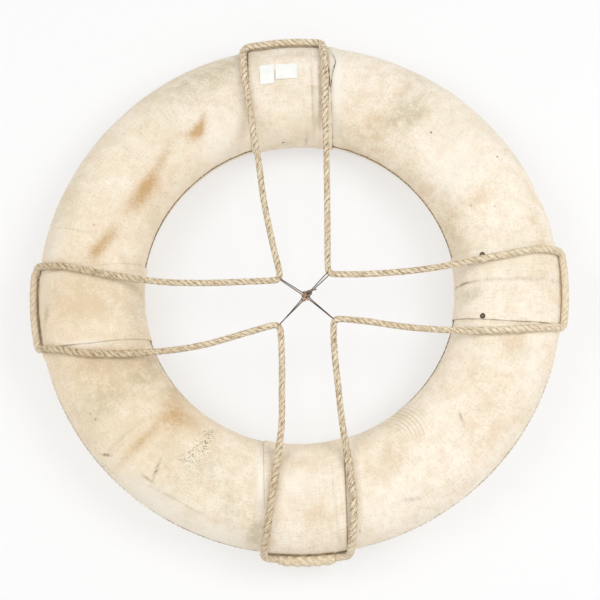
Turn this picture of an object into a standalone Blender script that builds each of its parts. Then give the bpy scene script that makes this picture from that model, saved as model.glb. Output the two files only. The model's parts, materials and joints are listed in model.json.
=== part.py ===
"""Cork life ring: pegged cork blocks in a canvas cover, with four canvas bands and a grab line.

The ring lies on its back, its axis along +Z and its front up, with the grab line's splice at -Y.
Lengths are in metres. A turn is an angle in degrees on one quarter of the ring's section: 0 is the
rim or the hole, 90 the front face and -90 the back face. An offset is a distance across a band's
width from the nearest axis, positive clockwise as seen from the front. A lift is a height above
the cover's outer surface.
"""

import math
from dataclasses import dataclass

import bmesh
import bpy
from mathutils import Matrix, Vector

# Clearance between neighbouring pieces
GAP = 0.0003

# Ring
RING_OUTER_DIAMETER = 0.762
RING_INNER_DIAMETER = 0.457
RING_THICKNESS = 0.102
FACE_FLAT_WIDTH = 0.040
RING_STEPS = 48
SHOULDER_STEPS = 4

# Canvas cover, two halves that meet at a thread on the rim and in the hole
COVER_THICKNESS = 0.0014
SEAM_THREAD_DIAMETER = 0.0014
SEAM_THREAD_SIDES = 6

# Cork blocks, two layers with staggered joints, and the pegs through both
BLOCKS_PER_LAYER = 6
PEG_DIAMETER = 0.016
PEG_SIDES = 12

# Canvas bands
BAND_THICKNESS = 0.0014
BAND_SLACK = 0.0007
BAND_COLUMNS = 5

# Grab line, its corners on the rim and its kinks over the hole
ROPE_DIAMETER = 0.011
ROPE_SAG = 0.0005
SPLICE_DIAMETER = 0.0146
SPLICE_POINTS = 13
SPLICE_SHOULDER = 0.25
SPLICE_FULLNESS = 0.7
CORNER_RADIUS = 0.010
CORNER_STEPS = 4
LEG_STEP = 11.0
RIM_RUN_STEPS = 4
KINK_RADIUS = 0.008
KINK_STEPS = 4
KINK_DROP = 0.006
SPAN_STATIONS = (0.33, 0.56, 0.80)

# Tie wires, their hooks round the kinks and the lashing in the middle
WIRE_DIAMETER = 0.0016
WIRE_CLEARANCE = 0.0007
WIRE_LEVEL = 0.00105
WIRE_LEVEL_RUN = 0.006
HOOK_SWEEP = 200.0
HOOK_STEPS = 9
TIE_CENTRE = (0.0103, -0.0227)
LASHING_TURNS = 3.5
LASHING_PITCH = 0.0021
LASHING_STEPS = 14
LASHING_HALF_WIDTH = 0.0085
LASHING_HALF_DEPTH = 0.0049
LASHING_TAIL = ((0.0028, 0.0030, 0.0012), (0.0062, 0.0074, 0.0030))

# Tacks
TACK_HEAD_DIAMETER = 0.008
TACK_HEAD_HEIGHT = 0.0014
TACK_SHANK_DIAMETER = 0.0018
TACK_LENGTH = 0.012
TACK_SEAT = 0.0005
TACK_SIDES = 10

# Paper labels
LABEL_THICKNESS = 0.0003

# Sizes that follow from those above
MID_RADIUS = (RING_OUTER_DIAMETER + RING_INNER_DIAMETER) / 4
HALF_WIDTH = (RING_OUTER_DIAMETER - RING_INNER_DIAMETER) / 4
BAND_LIFT = BAND_SLACK + BAND_THICKNESS
MID_HEIGHT = BAND_LIFT + RING_THICKNESS / 2
CORK_LIFT = -(COVER_THICKNESS + GAP)
SEAM_GAP = SEAM_THREAD_DIAMETER + 2 * GAP
ROPE_RADIUS = ROPE_DIAMETER / 2
ROPE_ON_COVER = GAP + ROPE_SAG + ROPE_RADIUS
ROPE_ON_BAND = BAND_LIFT + ROPE_ON_COVER
KINK_HEIGHT = MID_HEIGHT + RING_THICKNESS / 2 + ROPE_ON_BAND - KINK_DROP
WIRE_SIDE = (WIRE_DIAMETER + WIRE_CLEARANCE) / 2
HOOK_RADIUS = ROPE_RADIUS + WIRE_DIAMETER / 2 + WIRE_CLEARANCE
RIM = 1
HOLE = -1


@dataclass(frozen=True)
class Leg:
    """Offsets of the grab line on one side of a band, from the rim to its free span."""

    rim: float
    low_shoulder: float
    high_shoulder: float
    outer_edge: float
    inner_edge: float
    bows: tuple


@dataclass(frozen=True)
class Band:
    """A canvas band, and the grab line's two legs beside it, in clockwise order."""

    name: str
    axis: float
    skew: float
    width: float
    rim_turn: float
    arriving: Leg
    leaving: Leg


# Offsets read off the photograph, where the grab line lies by hand and not by rule
BANDS = (
    Band("left", 180.0, 6.2, 0.114, 20.0,
         Leg(-0.0920, -0.0955, -0.1003, -0.1046, -0.1064, (-0.0100, -0.0110, -0.0048)),
         Leg(0.0300, 0.0275, 0.0236, 0.0198, 0.0112, (-0.0092, -0.0090, -0.0047))),
    Band("top", 90.0, 2.6, 0.121, 34.0,
         Leg(-0.0845, -0.0835, -0.0818, -0.0800, -0.0744, (-0.0008, -0.0038, -0.0025)),
         Leg(0.0345, 0.0350, 0.0378, 0.0388, 0.0381, (0.0012, 0.0011, 0.0004))),
    Band("right", 0.0, -1.2, 0.107, 25.0,
         Leg(-0.0475, -0.0466, -0.0446, -0.0405, -0.0328, (0.0070, 0.0083, 0.0056)),
         Leg(0.0640, 0.0667, 0.0706, 0.0725, 0.0750, (0.0047, 0.0042, 0.0005))),
    Band("bottom", -90.0, 1.7, 0.1115, 5.0,
         Leg(-0.0705, -0.0730, -0.0756, -0.0754, -0.0712, (0.0036, 0.0038, 0.0034)),
         Leg(0.0500, 0.0457, 0.0418, 0.0384, 0.0325, (-0.0068, -0.0059, -0.0040))),
)

# Corners of the grab line over the hole, named by the two bands that each lies between
KINKS = {
    ("bottom", "left"): (-0.0263, -0.0625),
    ("left", "top"): (-0.0251, 0.0014),
    ("top", "right"): (0.0420, 0.0099),
    ("right", "bottom"): (0.0494, -0.0555),
}

# Tacks: band, offset from the band's middle, side of the section and turn
TACKS = {
    "tack_right_lower": ("right", 0.0466, HOLE, 71.0),
    "tack_right_upper": ("right", -0.0437, HOLE, 71.0),
    "tack_top": ("top", -0.0136, HOLE, 12.0),
}

# Labels on the top band: offset of the middle, width, start beyond the mid radius and height
LABELS = {
    "label_small": (-0.0324, 0.0210, 0.00155, 0.0315),
    "label_wide": (-0.0034, 0.0326, 0.00705, 0.0248),
}


def new_collection(name):
    """Add a collection to the scene and return it."""
    collection = bpy.data.collections.new(name)
    bpy.context.scene.collection.children.link(collection)
    return collection


def new_material(name, colour, roughness, metallic=0.0):
    """Make a Principled material with one colour."""
    material = bpy.data.materials.new(name)
    material.use_nodes = True
    shader = material.node_tree.nodes["Principled BSDF"]
    shader.inputs["Base Color"].default_value = (*colour, 1.0)
    shader.inputs["Roughness"].default_value = roughness
    shader.inputs["Metallic"].default_value = metallic
    material.diffuse_color = (*colour, 1.0)
    return material


def add_object(name, data, collection, parent, material=None):
    """Put mesh or curve data in a collection as a named object under a parent."""
    obj = bpy.data.objects.new(name, data)
    if material:
        data.materials.append(material)
    collection.objects.link(obj)
    obj.parent = parent
    return obj


def mesh_from(name, bm):
    """Turn a bmesh into a smooth-shaded mesh and free it."""
    mesh = bpy.data.meshes.new(name)
    bm.to_mesh(mesh)
    bm.free()
    mesh.shade_smooth()
    mesh.set_sharp_from_angle(angle=math.radians(35))
    return mesh


def tube(name, points, radius, bevel_resolution, radii=None):
    """Make a round tube with closed ends along a row of points."""
    curve = bpy.data.curves.new(name, "CURVE")
    curve.dimensions = "3D"
    curve.bevel_depth = radius
    curve.bevel_resolution = bevel_resolution
    curve.use_fill_caps = True
    spline = curve.splines.new("POLY")
    spline.points.add(len(points) - 1)
    for index, (point, target) in enumerate(zip(points, spline.points)):
        target.co = (*point, 1.0)
        target.radius = radii[index] if radii else 1.0
    spline.use_smooth = True
    return curve


def add_solidify(obj, thickness):
    """Give an open surface a thickness on its inner side."""
    solidify = obj.modifiers.new("Thickness", "SOLIDIFY")
    solidify.thickness = thickness
    solidify.offset = -1.0
    solidify.use_even_offset = True


def add_cut(obj, cutter):
    """Cut one object out of another."""
    boolean = obj.modifiers.new("Cut " + cutter.name, "BOOLEAN")
    boolean.operation = "DIFFERENCE"
    boolean.solver = "EXACT"
    boolean.object = cutter


def section_point(side, turn, lift=0.0):
    """Distance from the axis and height of a point on the ring's section."""
    half_flat = FACE_FLAT_WIDTH / 2
    reach = HALF_WIDTH - half_flat + lift
    rise = RING_THICKNESS / 2 + lift
    angle = math.radians(turn)
    return MID_RADIUS + side * (half_flat + reach * math.cos(angle)), MID_HEIGHT + rise * math.sin(angle)


def quarter(side, face, lift):
    """Points on one quarter of the section, from the middle height to the face's flat."""
    step = 90.0 / SHOULDER_STEPS
    return [section_point(side, face * step * index, lift) for index in range(SHOULDER_STEPS + 1)]


def half_section(face, lift, gap):
    """Points over one face, from the hole to the rim, cut off half a gap from the middle height."""
    sides = []
    for side in (HOLE, RIM):
        points = quarter(side, face, lift)
        (radius_a, height_a), (radius_b, height_b) = points[:2]
        share = gap / 2 / abs(height_b - height_a)
        points[0] = (radius_a + (radius_b - radius_a) * share, height_a + (height_b - height_a) * share)
        sides.append(points)
    return sides[0] + sides[1][::-1]


def place(axis, offset, radius, height):
    """Point at a distance from the ring's axis and an offset beside a direction seen from above."""
    angle = math.radians(axis)
    along = math.sqrt(radius**2 - offset**2)
    return Vector((
        math.cos(angle) * along + math.sin(angle) * offset,
        math.sin(angle) * along - math.cos(angle) * offset,
        height,
    ))


def clockwise(axis):
    """Unit vector along increasing offset."""
    angle = math.radians(axis)
    return Vector((math.sin(angle), -math.cos(angle), 0.0))


def cover_half(name, face, collection, root, material):
    """One half of the cover: half the section swept round, with a thickness."""
    outline = half_section(face, 0.0, SEAM_GAP)
    if face < 0:
        outline.reverse()
    bm = bmesh.new()
    verts = [bm.verts.new((radius, 0.0, height)) for radius, height in outline]
    for first, second in zip(verts, verts[1:]):
        bm.edges.new((first, second))
    obj = add_object(name, mesh_from(name, bm), collection, root, material)
    screw = obj.modifiers.new("Sweep", "SCREW")
    screw.axis = "Z"
    screw.angle = math.tau
    screw.steps = RING_STEPS
    screw.render_steps = RING_STEPS
    screw.use_merge_vertices = True
    screw.merge_threshold = 0.0001
    screw.use_smooth_shade = True
    add_solidify(obj, COVER_THICKNESS)
    return obj


def seam_thread(name, side, collection, root, material):
    """The stitched thread that closes the cover, as a ring in the gap between its halves."""
    radius = section_point(side, 0.0, CORK_LIFT)[0] + side * (GAP + SEAM_THREAD_DIAMETER / 2)
    bpy.ops.mesh.primitive_torus_add(
        major_segments=RING_STEPS, minor_segments=SEAM_THREAD_SIDES, major_radius=radius,
        minor_radius=SEAM_THREAD_DIAMETER / 2, location=(0.0, 0.0, MID_HEIGHT))
    made = bpy.context.object
    mesh = made.data
    mesh.shade_smooth()
    bpy.data.objects.remove(made)
    obj = add_object(name, mesh, collection, root, material)
    obj.location.z = MID_HEIGHT
    return obj


def cork_block(name, face, first_joint, collection, root, material):
    """One block of cork: half the section swept from one joint to the next, less a gap."""
    joint_angle = GAP / section_point(HOLE, 0.0, CORK_LIFT)[0]
    span = math.tau / BLOCKS_PER_LAYER - joint_angle
    start = math.radians(first_joint) + joint_angle / 2
    bm = bmesh.new()
    outline = half_section(face, CORK_LIFT, GAP)
    verts = [bm.verts.new((radius, 0.0, height)) for radius, height in outline]
    profile = bm.faces.new(verts)
    bmesh.ops.rotate(bm, verts=bm.verts, matrix=Matrix.Rotation(start, 3, "Z"))
    bmesh.ops.spin(
        bm, geom=[profile, *profile.edges, *profile.verts], axis=(0, 0, 1), cent=(0, 0, 0),
        angle=span, steps=RING_STEPS // BLOCKS_PER_LAYER, use_duplicate=False)
    bmesh.ops.recalc_face_normals(bm, faces=bm.faces)
    return add_object(name, mesh_from(name, bm), collection, root, material)


def peg_cylinder(name, diameter, height, collection, root, material=None):
    """An upright cylinder on the ring's middle circle, to be turned into place by its parent."""
    bm = bmesh.new()
    bmesh.ops.create_cone(
        bm, cap_ends=True, segments=PEG_SIDES, radius1=diameter / 2, radius2=diameter / 2, depth=height)
    return add_object(name, mesh_from(name, bm), collection, root, material)


def cork_core(parts, cutters, root, cork, wood):
    """Two layers of cork blocks with staggered joints, and a peg through each lap."""
    block_angle = 360.0 / BLOCKS_PER_LAYER
    core_height = RING_THICKNESS + 2 * CORK_LIFT
    blocks = {}
    for layer, face, shift in (("front", 1, 0.0), ("back", -1, block_angle / 2)):
        for index in range(BLOCKS_PER_LAYER):
            name = f"cork_{layer}_block_{index + 1}"
            joint = shift + index * block_angle
            blocks[name] = (joint, cork_block(name, face, joint, parts, root, cork))
    for index in range(2 * BLOCKS_PER_LAYER):
        azimuth = block_angle / 4 + index * block_angle / 2
        centre = place(azimuth, 0.0, MID_RADIUS, MID_HEIGHT)
        peg = peg_cylinder(f"wooden_peg_{index + 1:02d}", PEG_DIAMETER, core_height, parts, root, wood)
        peg.location = centre
        cutter = peg_cylinder(
            f"peg_hole_{index + 1:02d}", PEG_DIAMETER + 2 * GAP, 2 * RING_THICKNESS, cutters, root)
        cutter.location = centre
        for joint, block in blocks.values():
            if (azimuth - joint) % 360.0 < block_angle:
                add_cut(block, cutter)
    return blocks


def band_axis(band):
    """Direction of the band's own middle, seen from above."""
    return band.axis + band.skew


def bowed_strip(name, outline, axis, first, last, columns, closed):
    """A strip of cloth across a row of section points, bent to the ring's curve."""
    bm = bmesh.new()
    verts = [bm.verts.new((radius, first, height)) for radius, height in outline]
    pairs = list(zip(verts, verts[1:]))
    if closed:
        pairs.append((verts[-1], verts[0]))
    edges = [bm.edges.new(pair) for pair in pairs]
    step = (last - first) / columns
    for _ in range(columns):
        grown = bmesh.ops.extrude_edge_only(bm, edges=edges)["geom"]
        edges = [item for item in grown if isinstance(item, bmesh.types.BMEdge)]
        moved = [item for item in grown if isinstance(item, bmesh.types.BMVert)]
        bmesh.ops.translate(bm, verts=moved, vec=(0.0, step, 0.0))
    for vert in bm.verts:
        vert.co = place(axis, vert.co.y, vert.co.x, vert.co.z)
    bm.normal_update()
    outermost = max(bm.faces, key=lambda face: face.calc_center_median().z)
    if outermost.normal.z < 0:
        bmesh.ops.reverse_faces(bm, faces=bm.faces)
    return mesh_from(name, bm)


def canvas_band(band, collection, root, material):
    """A band wrapped right round the section, standing off the cover by its slack."""
    front = half_section(1, BAND_LIFT, 0.0)
    back = half_section(-1, BAND_LIFT, 0.0)
    outline = front + back[-2:0:-1]
    name = "band_" + band.name
    mesh = bowed_strip(
        name, outline, band_axis(band), -band.width / 2, band.width / 2, BAND_COLUMNS, True)
    obj = add_object(name, mesh, collection, root, material)
    add_solidify(obj, BAND_THICKNESS)
    return obj


def walk(points, length):
    """The first stretch of a row of points, cut off at a length."""
    kept = [points[0]]
    for point in points[1:]:
        last = kept[-1]
        step = math.dist(last, point)
        if step >= length:
            share = length / step
            kept.append(tuple(a + (b - a) * share for a, b in zip(last, point)))
            return kept
        kept.append(point)
        length -= step
    return kept


def paper_label(name, band, collection, root, material):
    """A paper label on the front of a band, bent over the shoulder where it reaches that far."""
    middle, width, start, height = LABELS[name]
    lift = BAND_LIFT + GAP + LABEL_THICKNESS
    shoulder = quarter(RIM, 1, lift)[::-1]
    outline = walk([(MID_RADIUS + start, shoulder[0][1]), *shoulder], height)
    mesh = bowed_strip(
        name, outline, band_axis(band), middle - width / 2, middle + width / 2, 1, False)
    obj = add_object(name, mesh, collection, root, material)
    add_solidify(obj, LABEL_THICKNESS)
    return obj


def tack_mesh(name):
    """Outline of a tack from its crown down to its point, ready for a Screw modifier."""
    head = TACK_HEAD_DIAMETER / 2
    shank = TACK_SHANK_DIAMETER / 2
    outline = (
        (0.0, TACK_HEAD_HEIGHT),
        (0.55 * head, 0.80 * TACK_HEAD_HEIGHT),
        (head, 0.25 * TACK_HEAD_HEIGHT),
        (head, 0.0),
        (shank, 0.0),
        (shank, -0.75 * TACK_LENGTH),
        (0.0, -TACK_LENGTH),
    )
    bm = bmesh.new()
    verts = [bm.verts.new((radius, 0.0, height)) for radius, height in outline]
    for first, second in zip(verts, verts[1:]):
        bm.edges.new((first, second))
    return mesh_from(name, bm)


def band_seat(band, offset, side, turn):
    """Point on a band's outer face and the direction that the face looks in there."""
    step = 90.0 / SHOULDER_STEPS
    low = math.floor(turn / step) * step
    first = section_point(side, low, BAND_LIFT)
    second = section_point(side, low + step, BAND_LIFT)
    share = (turn - low) / step
    radius, height = (a + (b - a) * share for a, b in zip(first, second))
    out = Vector((second[1] - first[1], first[0] - second[0])).normalized() * side
    if out.y < 0:
        out.negate()
    seat = place(band_axis(band), offset, radius, height)
    outward = Vector((seat.x, seat.y, 0.0)).normalized()
    return seat, (outward * out.x + Vector((0.0, 0.0, out.y))).normalized()


def add_tack(name, band, collection, cutters, root, material, pierced):
    """A tack through a band, with a clearance hole in everything that it goes through."""
    _, offset, side, turn = TACKS[name]
    seat, normal = band_seat(band, offset, side, turn)
    turned = normal.to_track_quat("Z", "Y").to_euler()
    tack = add_object(name, tack_mesh(name), collection, root, material)
    tack.location = seat + normal * TACK_SEAT
    tack.rotation_euler = turned
    screw = tack.modifiers.new("Turn", "SCREW")
    screw.axis = "Z"
    screw.angle = math.tau
    screw.steps = TACK_SIDES
    screw.render_steps = TACK_SIDES
    screw.use_merge_vertices = True
    screw.merge_threshold = 0.0001
    hole_radius = TACK_SHANK_DIAMETER / 2 + GAP
    hole_length = TACK_LENGTH + TACK_SEAT + 4 * GAP
    bm = bmesh.new()
    bmesh.ops.create_cone(
        bm, cap_ends=True, segments=TACK_SIDES, radius1=hole_radius, radius2=hole_radius,
        depth=hole_length)
    cutter = add_object("hole_" + name, mesh_from("hole_" + name, bm), cutters, root)
    cutter.location = seat + normal * (TACK_SEAT - TACK_LENGTH / 2)
    cutter.rotation_euler = turned
    for obj in pierced:
        add_cut(obj, cutter)
    return tack


def rope_lift(band, offset, radius):
    """Height of the rope's centre above the cover, on the band, on its edge or beside it."""
    from_middle = radius * math.sin(math.asin(offset / radius) + math.radians(band.skew))
    beyond = abs(from_middle) - band.width / 2
    if beyond <= 0:
        return ROPE_ON_BAND
    if beyond >= ROPE_ON_COVER:
        return ROPE_ON_COVER
    return max(ROPE_ON_COVER, BAND_LIFT + math.sqrt(ROPE_ON_COVER**2 - beyond**2))


def rope_point(band, offset, side, turn):
    """Point of the rope's centre where the rope lies on the section."""
    lift = rope_lift(band, offset, section_point(side, turn)[0])
    return place(band.axis, offset, *section_point(side, turn, lift))


def offset_at(leg, rim_turn, turn):
    """Offset of a leg at a turn, between the offsets given for it."""
    known = (
        (rim_turn, leg.rim), (45.0, leg.low_shoulder),
        (70.0, leg.high_shoulder), (90.0, leg.outer_edge))
    for (turn_a, offset_a), (turn_b, offset_b) in zip(known, known[1:]):
        if turn <= turn_b:
            return offset_a + (offset_b - offset_a) * (turn - turn_a) / (turn_b - turn_a)
    return leg.outer_edge


def leg_points(band, leg, rim_side):
    """Rope points from the end of the rim run, round the corner and over the face's flat.

    rim_side is 1 where the rim run lies clockwise of the leg, and -1 where it lies the other way.
    """
    shoulder_radius = (HALF_WIDTH - FACE_FLAT_WIDTH / 2 + RING_THICKNESS / 2) / 2 + ROPE_ON_BAND
    corner_turn = math.degrees(CORNER_RADIUS / shoulder_radius)
    leg_start = band.rim_turn + corner_turn
    leg_offset = offset_at(leg, band.rim_turn, leg_start)
    points = []
    for step in range(CORNER_STEPS, 0, -1):
        bend = math.radians(90.0 * step / CORNER_STEPS)
        offset = leg_offset + rim_side * CORNER_RADIUS * (1 - math.cos(bend))
        turn = band.rim_turn + corner_turn * (1 - math.sin(bend))
        points.append(rope_point(band, offset, RIM, turn))
    steps = math.ceil((90.0 - leg_start) / LEG_STEP)
    for step in range(steps + 1):
        turn = leg_start + (90.0 - leg_start) * step / steps
        points.append(rope_point(band, offset_at(leg, band.rim_turn, turn), RIM, turn))
    points.append(rope_point(band, leg.inner_edge, HOLE, 90.0))
    points.insert(-1, (points[-2] + points[-1]) / 2)
    return points


def span_points(band, leg, start, kink):
    """Rope points along a free span, from the flat's inner edge towards a kink."""
    points = []
    for share, bow in zip(SPAN_STATIONS, leg.bows):
        points.append(start.lerp(kink, share) + clockwise(band.axis) * bow)
    return points


def kink_points(before, kink, after):
    """Rope points round a kink, as an arc between the two spans' directions."""
    way_in = (kink - before).normalized()
    way_out = (after - kink).normalized()
    bend = way_in.angle(way_out)
    start = kink - way_in * KINK_RADIUS * math.tan(bend / 2)
    inward = (way_out - way_in).normalized()
    centre = kink + inward * KINK_RADIUS / math.cos(bend / 2)
    normal = way_in.cross(way_out).normalized()
    return [
        centre + Matrix.Rotation(bend * step / KINK_STEPS, 3, normal) @ (start - centre)
        for step in range(KINK_STEPS + 1)
    ]


def rim_points(band, start, end):
    """Rope points along the rim, between the ends of a band's two corners."""
    radius, height = section_point(RIM, band.rim_turn, ROPE_ON_BAND)
    first = (start - place(band.axis, 0.0, radius, height)).dot(clockwise(band.axis))
    last = (end - place(band.axis, 0.0, radius, height)).dot(clockwise(band.axis))
    return [
        place(band.axis, first + (last - first) * step / RIM_RUN_STEPS, radius, height)
        for step in range(1, RIM_RUN_STEPS)
    ]


def rope_end(leg_end, rim_side):
    """The rope's end at the splice: one rope diameter straight on along the bottom rim."""
    bottom = BANDS[-1]
    offset = leg_end.dot(clockwise(bottom.axis)) + rim_side * ROPE_DIAMETER
    return place(bottom.axis, offset, *section_point(RIM, bottom.rim_turn, ROPE_ON_BAND))


def rope_route():
    """The grab line's points, clockwise from one end of the splice to the other, and its kinks."""
    bottom = BANDS[-1]
    route = leg_points(bottom, bottom.leaving, -1)
    kinks = {}
    previous = bottom
    for band in BANDS:
        vertex = Vector((*KINKS[previous.name, band.name], KINK_HEIGHT))
        leg_out = leg_points(band, band.arriving, 1)[::-1]
        incoming = span_points(previous, previous.leaving, route[-1], vertex)
        outgoing = span_points(band, band.arriving, leg_out[0], vertex)[::-1]
        corner = kink_points(incoming[-1], vertex, outgoing[0])
        kinks[previous.name, band.name] = corner[KINK_STEPS // 2]
        route += incoming + corner + outgoing + leg_out
        if band is not bottom:
            leg_in = leg_points(band, band.leaving, -1)
            route += rim_points(band, route[-1], leg_in[0]) + leg_in
        previous = band
    return route, kinks


def smooth(points, per_span=8):
    """Points on a centripetal Catmull-Rom curve through the given points."""
    before = points[0] * 2 - points[1]
    after = points[-1] * 2 - points[-2]
    padded = [before, *points, after]
    curve = [points[0]]
    for p0, p1, p2, p3 in zip(padded, padded[1:], padded[2:], padded[3:]):
        t1 = math.sqrt((p1 - p0).length)
        t2 = t1 + math.sqrt((p2 - p1).length)
        t3 = t2 + math.sqrt((p3 - p2).length)
        for step in range(1, per_span + 1):
            t = t1 + (t2 - t1) * step / per_span
            a1 = p0.lerp(p1, t / t1)
            a2 = p1.lerp(p2, (t - t1) / (t2 - t1))
            a3 = p2.lerp(p3, (t - t2) / (t3 - t2))
            b1 = a1.lerp(a2, t / t2)
            b2 = a2.lerp(a3, (t - t1) / (t3 - t1))
            curve.append(b1.lerp(b2, (t - t1) / (t2 - t1)))
    return curve


def thin(points, sag):
    """Leave out the points that lie within a sag of the straight line between their neighbours."""
    first = points[0]
    last = points[-1]
    chord = last - first
    worst = 0.0
    split = 0
    for index in range(1, len(points) - 1):
        share = max(0.0, min(1.0, (points[index] - first).dot(chord) / chord.length_squared))
        distance = (points[index] - first - chord * share).length
        if distance > worst:
            worst = distance
            split = index
    if worst <= sag:
        return [first, last]
    return thin(points[:split + 1], sag)[:-1] + thin(points[split:], sag)


def splice_path(start_end, finish_end):
    """Points and radii of the splice, which swells between the rope's two ends."""
    bottom = BANDS[-1]
    across = clockwise(bottom.axis)
    start = start_end.dot(across) + 2 * GAP
    finish = finish_end.dot(across) - 2 * GAP
    swell = (SPLICE_DIAMETER - ROPE_DIAMETER) / 2
    straight = 1 / (SPLICE_POINTS - 1)
    points = []
    radii = []
    for index in range(SPLICE_POINTS):
        share = index * straight
        inner = max(0.0, min(1.0, (share - straight) / (1 - 2 * straight)))
        fullness = math.sin(math.pi * inner) ** SPLICE_FULLNESS
        growth = swell * (SPLICE_SHOULDER + (1 - SPLICE_SHOULDER) * fullness)
        offset = start + (finish - start) * share
        radius, height = section_point(RIM, bottom.rim_turn, ROPE_ON_BAND + growth)
        points.append(place(bottom.axis, offset, radius, height))
        radii.append((ROPE_RADIUS + growth) / ROPE_RADIUS)
    return points, radii


def hook_points(middle, away, side_vector, side, rising):
    """Wire points round the rope at a kink, in an upright plane, from one strand to the other."""
    points = []
    for step in range(HOOK_STEPS + 1):
        share = step / HOOK_STEPS
        angle = math.radians(HOOK_SWEEP * (0.5 - share)) * (-1 if rising else 1)
        points.append(
            middle + away * HOOK_RADIUS * math.cos(angle)
            + Vector((0.0, 0.0, HOOK_RADIUS * math.sin(angle)))
            + side_vector * side * WIRE_SIDE * (1 - 2 * share))
    return points


def tie_wire_route(kinks, first, second, level):
    """A wire's points: out to one kink, round it, back through the middle to the other and home."""
    centre = Vector((*TIE_CENTRE, KINK_HEIGHT + level))
    base = Vector((*TIE_CENTRE, KINK_HEIGHT))
    ways = [(kinks[key] - base).normalized() for key in (first, second)]
    axis = (ways[0] - ways[1]).normalized()
    across = axis.cross(Vector((0.0, 0.0, 1.0)))
    route = [centre + ways[0] * WIRE_DIAMETER + across * WIRE_SIDE]
    route.append(centre + ways[0] * WIRE_LEVEL_RUN + across * WIRE_SIDE)
    route += hook_points(kinks[first], ways[0], across, 1, False)
    route.append(centre + ways[0] * WIRE_LEVEL_RUN - across * WIRE_SIDE)
    route.append(centre + ways[1] * WIRE_LEVEL_RUN - across * WIRE_SIDE)
    route += hook_points(kinks[second], ways[1], across, -1, True)
    route.append(centre + ways[1] * WIRE_LEVEL_RUN + across * WIRE_SIDE)
    route.append(centre + ways[1] * WIRE_DIAMETER + across * WIRE_SIDE)
    return route


def lashing_route():
    """The binding wire's points: turns round both tie wires, then a cut end that stands up."""
    centre = Vector((*TIE_CENTRE, KINK_HEIGHT))
    steps = round(LASHING_TURNS * LASHING_STEPS)
    route = []
    for step in range(steps + 1):
        turned = step / LASHING_STEPS
        angle = -math.tau * turned
        route.append(centre + Vector((
            LASHING_PITCH * (turned - LASHING_TURNS / 2),
            LASHING_HALF_WIDTH * math.sin(angle),
            -LASHING_HALF_DEPTH * math.cos(angle))))
    end = route[-1].copy()
    route += [end + Vector(tail) for tail in LASHING_TAIL]
    return route


def least_gap(points, diameter):
    """Smallest gap between stretches of a tube that are over three diameters apart along it."""
    along = [0.0]
    for first, second in zip(points, points[1:]):
        along.append(along[-1] + (second - first).length)
    gaps = [
        (points[j] - points[i]).length - diameter
        for i in range(len(points)) for j in range(i + 1, len(points))
        if along[j] - along[i] > 3 * diameter
    ]
    return min(gaps)


def centre_on_origin(collection, root):
    """Move the root so that the box round all parts has its middle over the origin."""
    bpy.context.view_layer.update()
    graph = bpy.context.evaluated_depsgraph_get()
    xs = []
    ys = []
    for obj in collection.objects:
        evaluated = obj.evaluated_get(graph)
        mesh = evaluated.to_mesh()
        for vert in mesh.vertices:
            point = evaluated.matrix_world @ vert.co
            xs.append(point.x)
            ys.append(point.y)
        evaluated.to_mesh_clear()
    root.location.x = -(min(xs) + max(xs)) / 2
    root.location.y = -(min(ys) + max(ys)) / 2
    bpy.context.view_layer.update()


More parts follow.
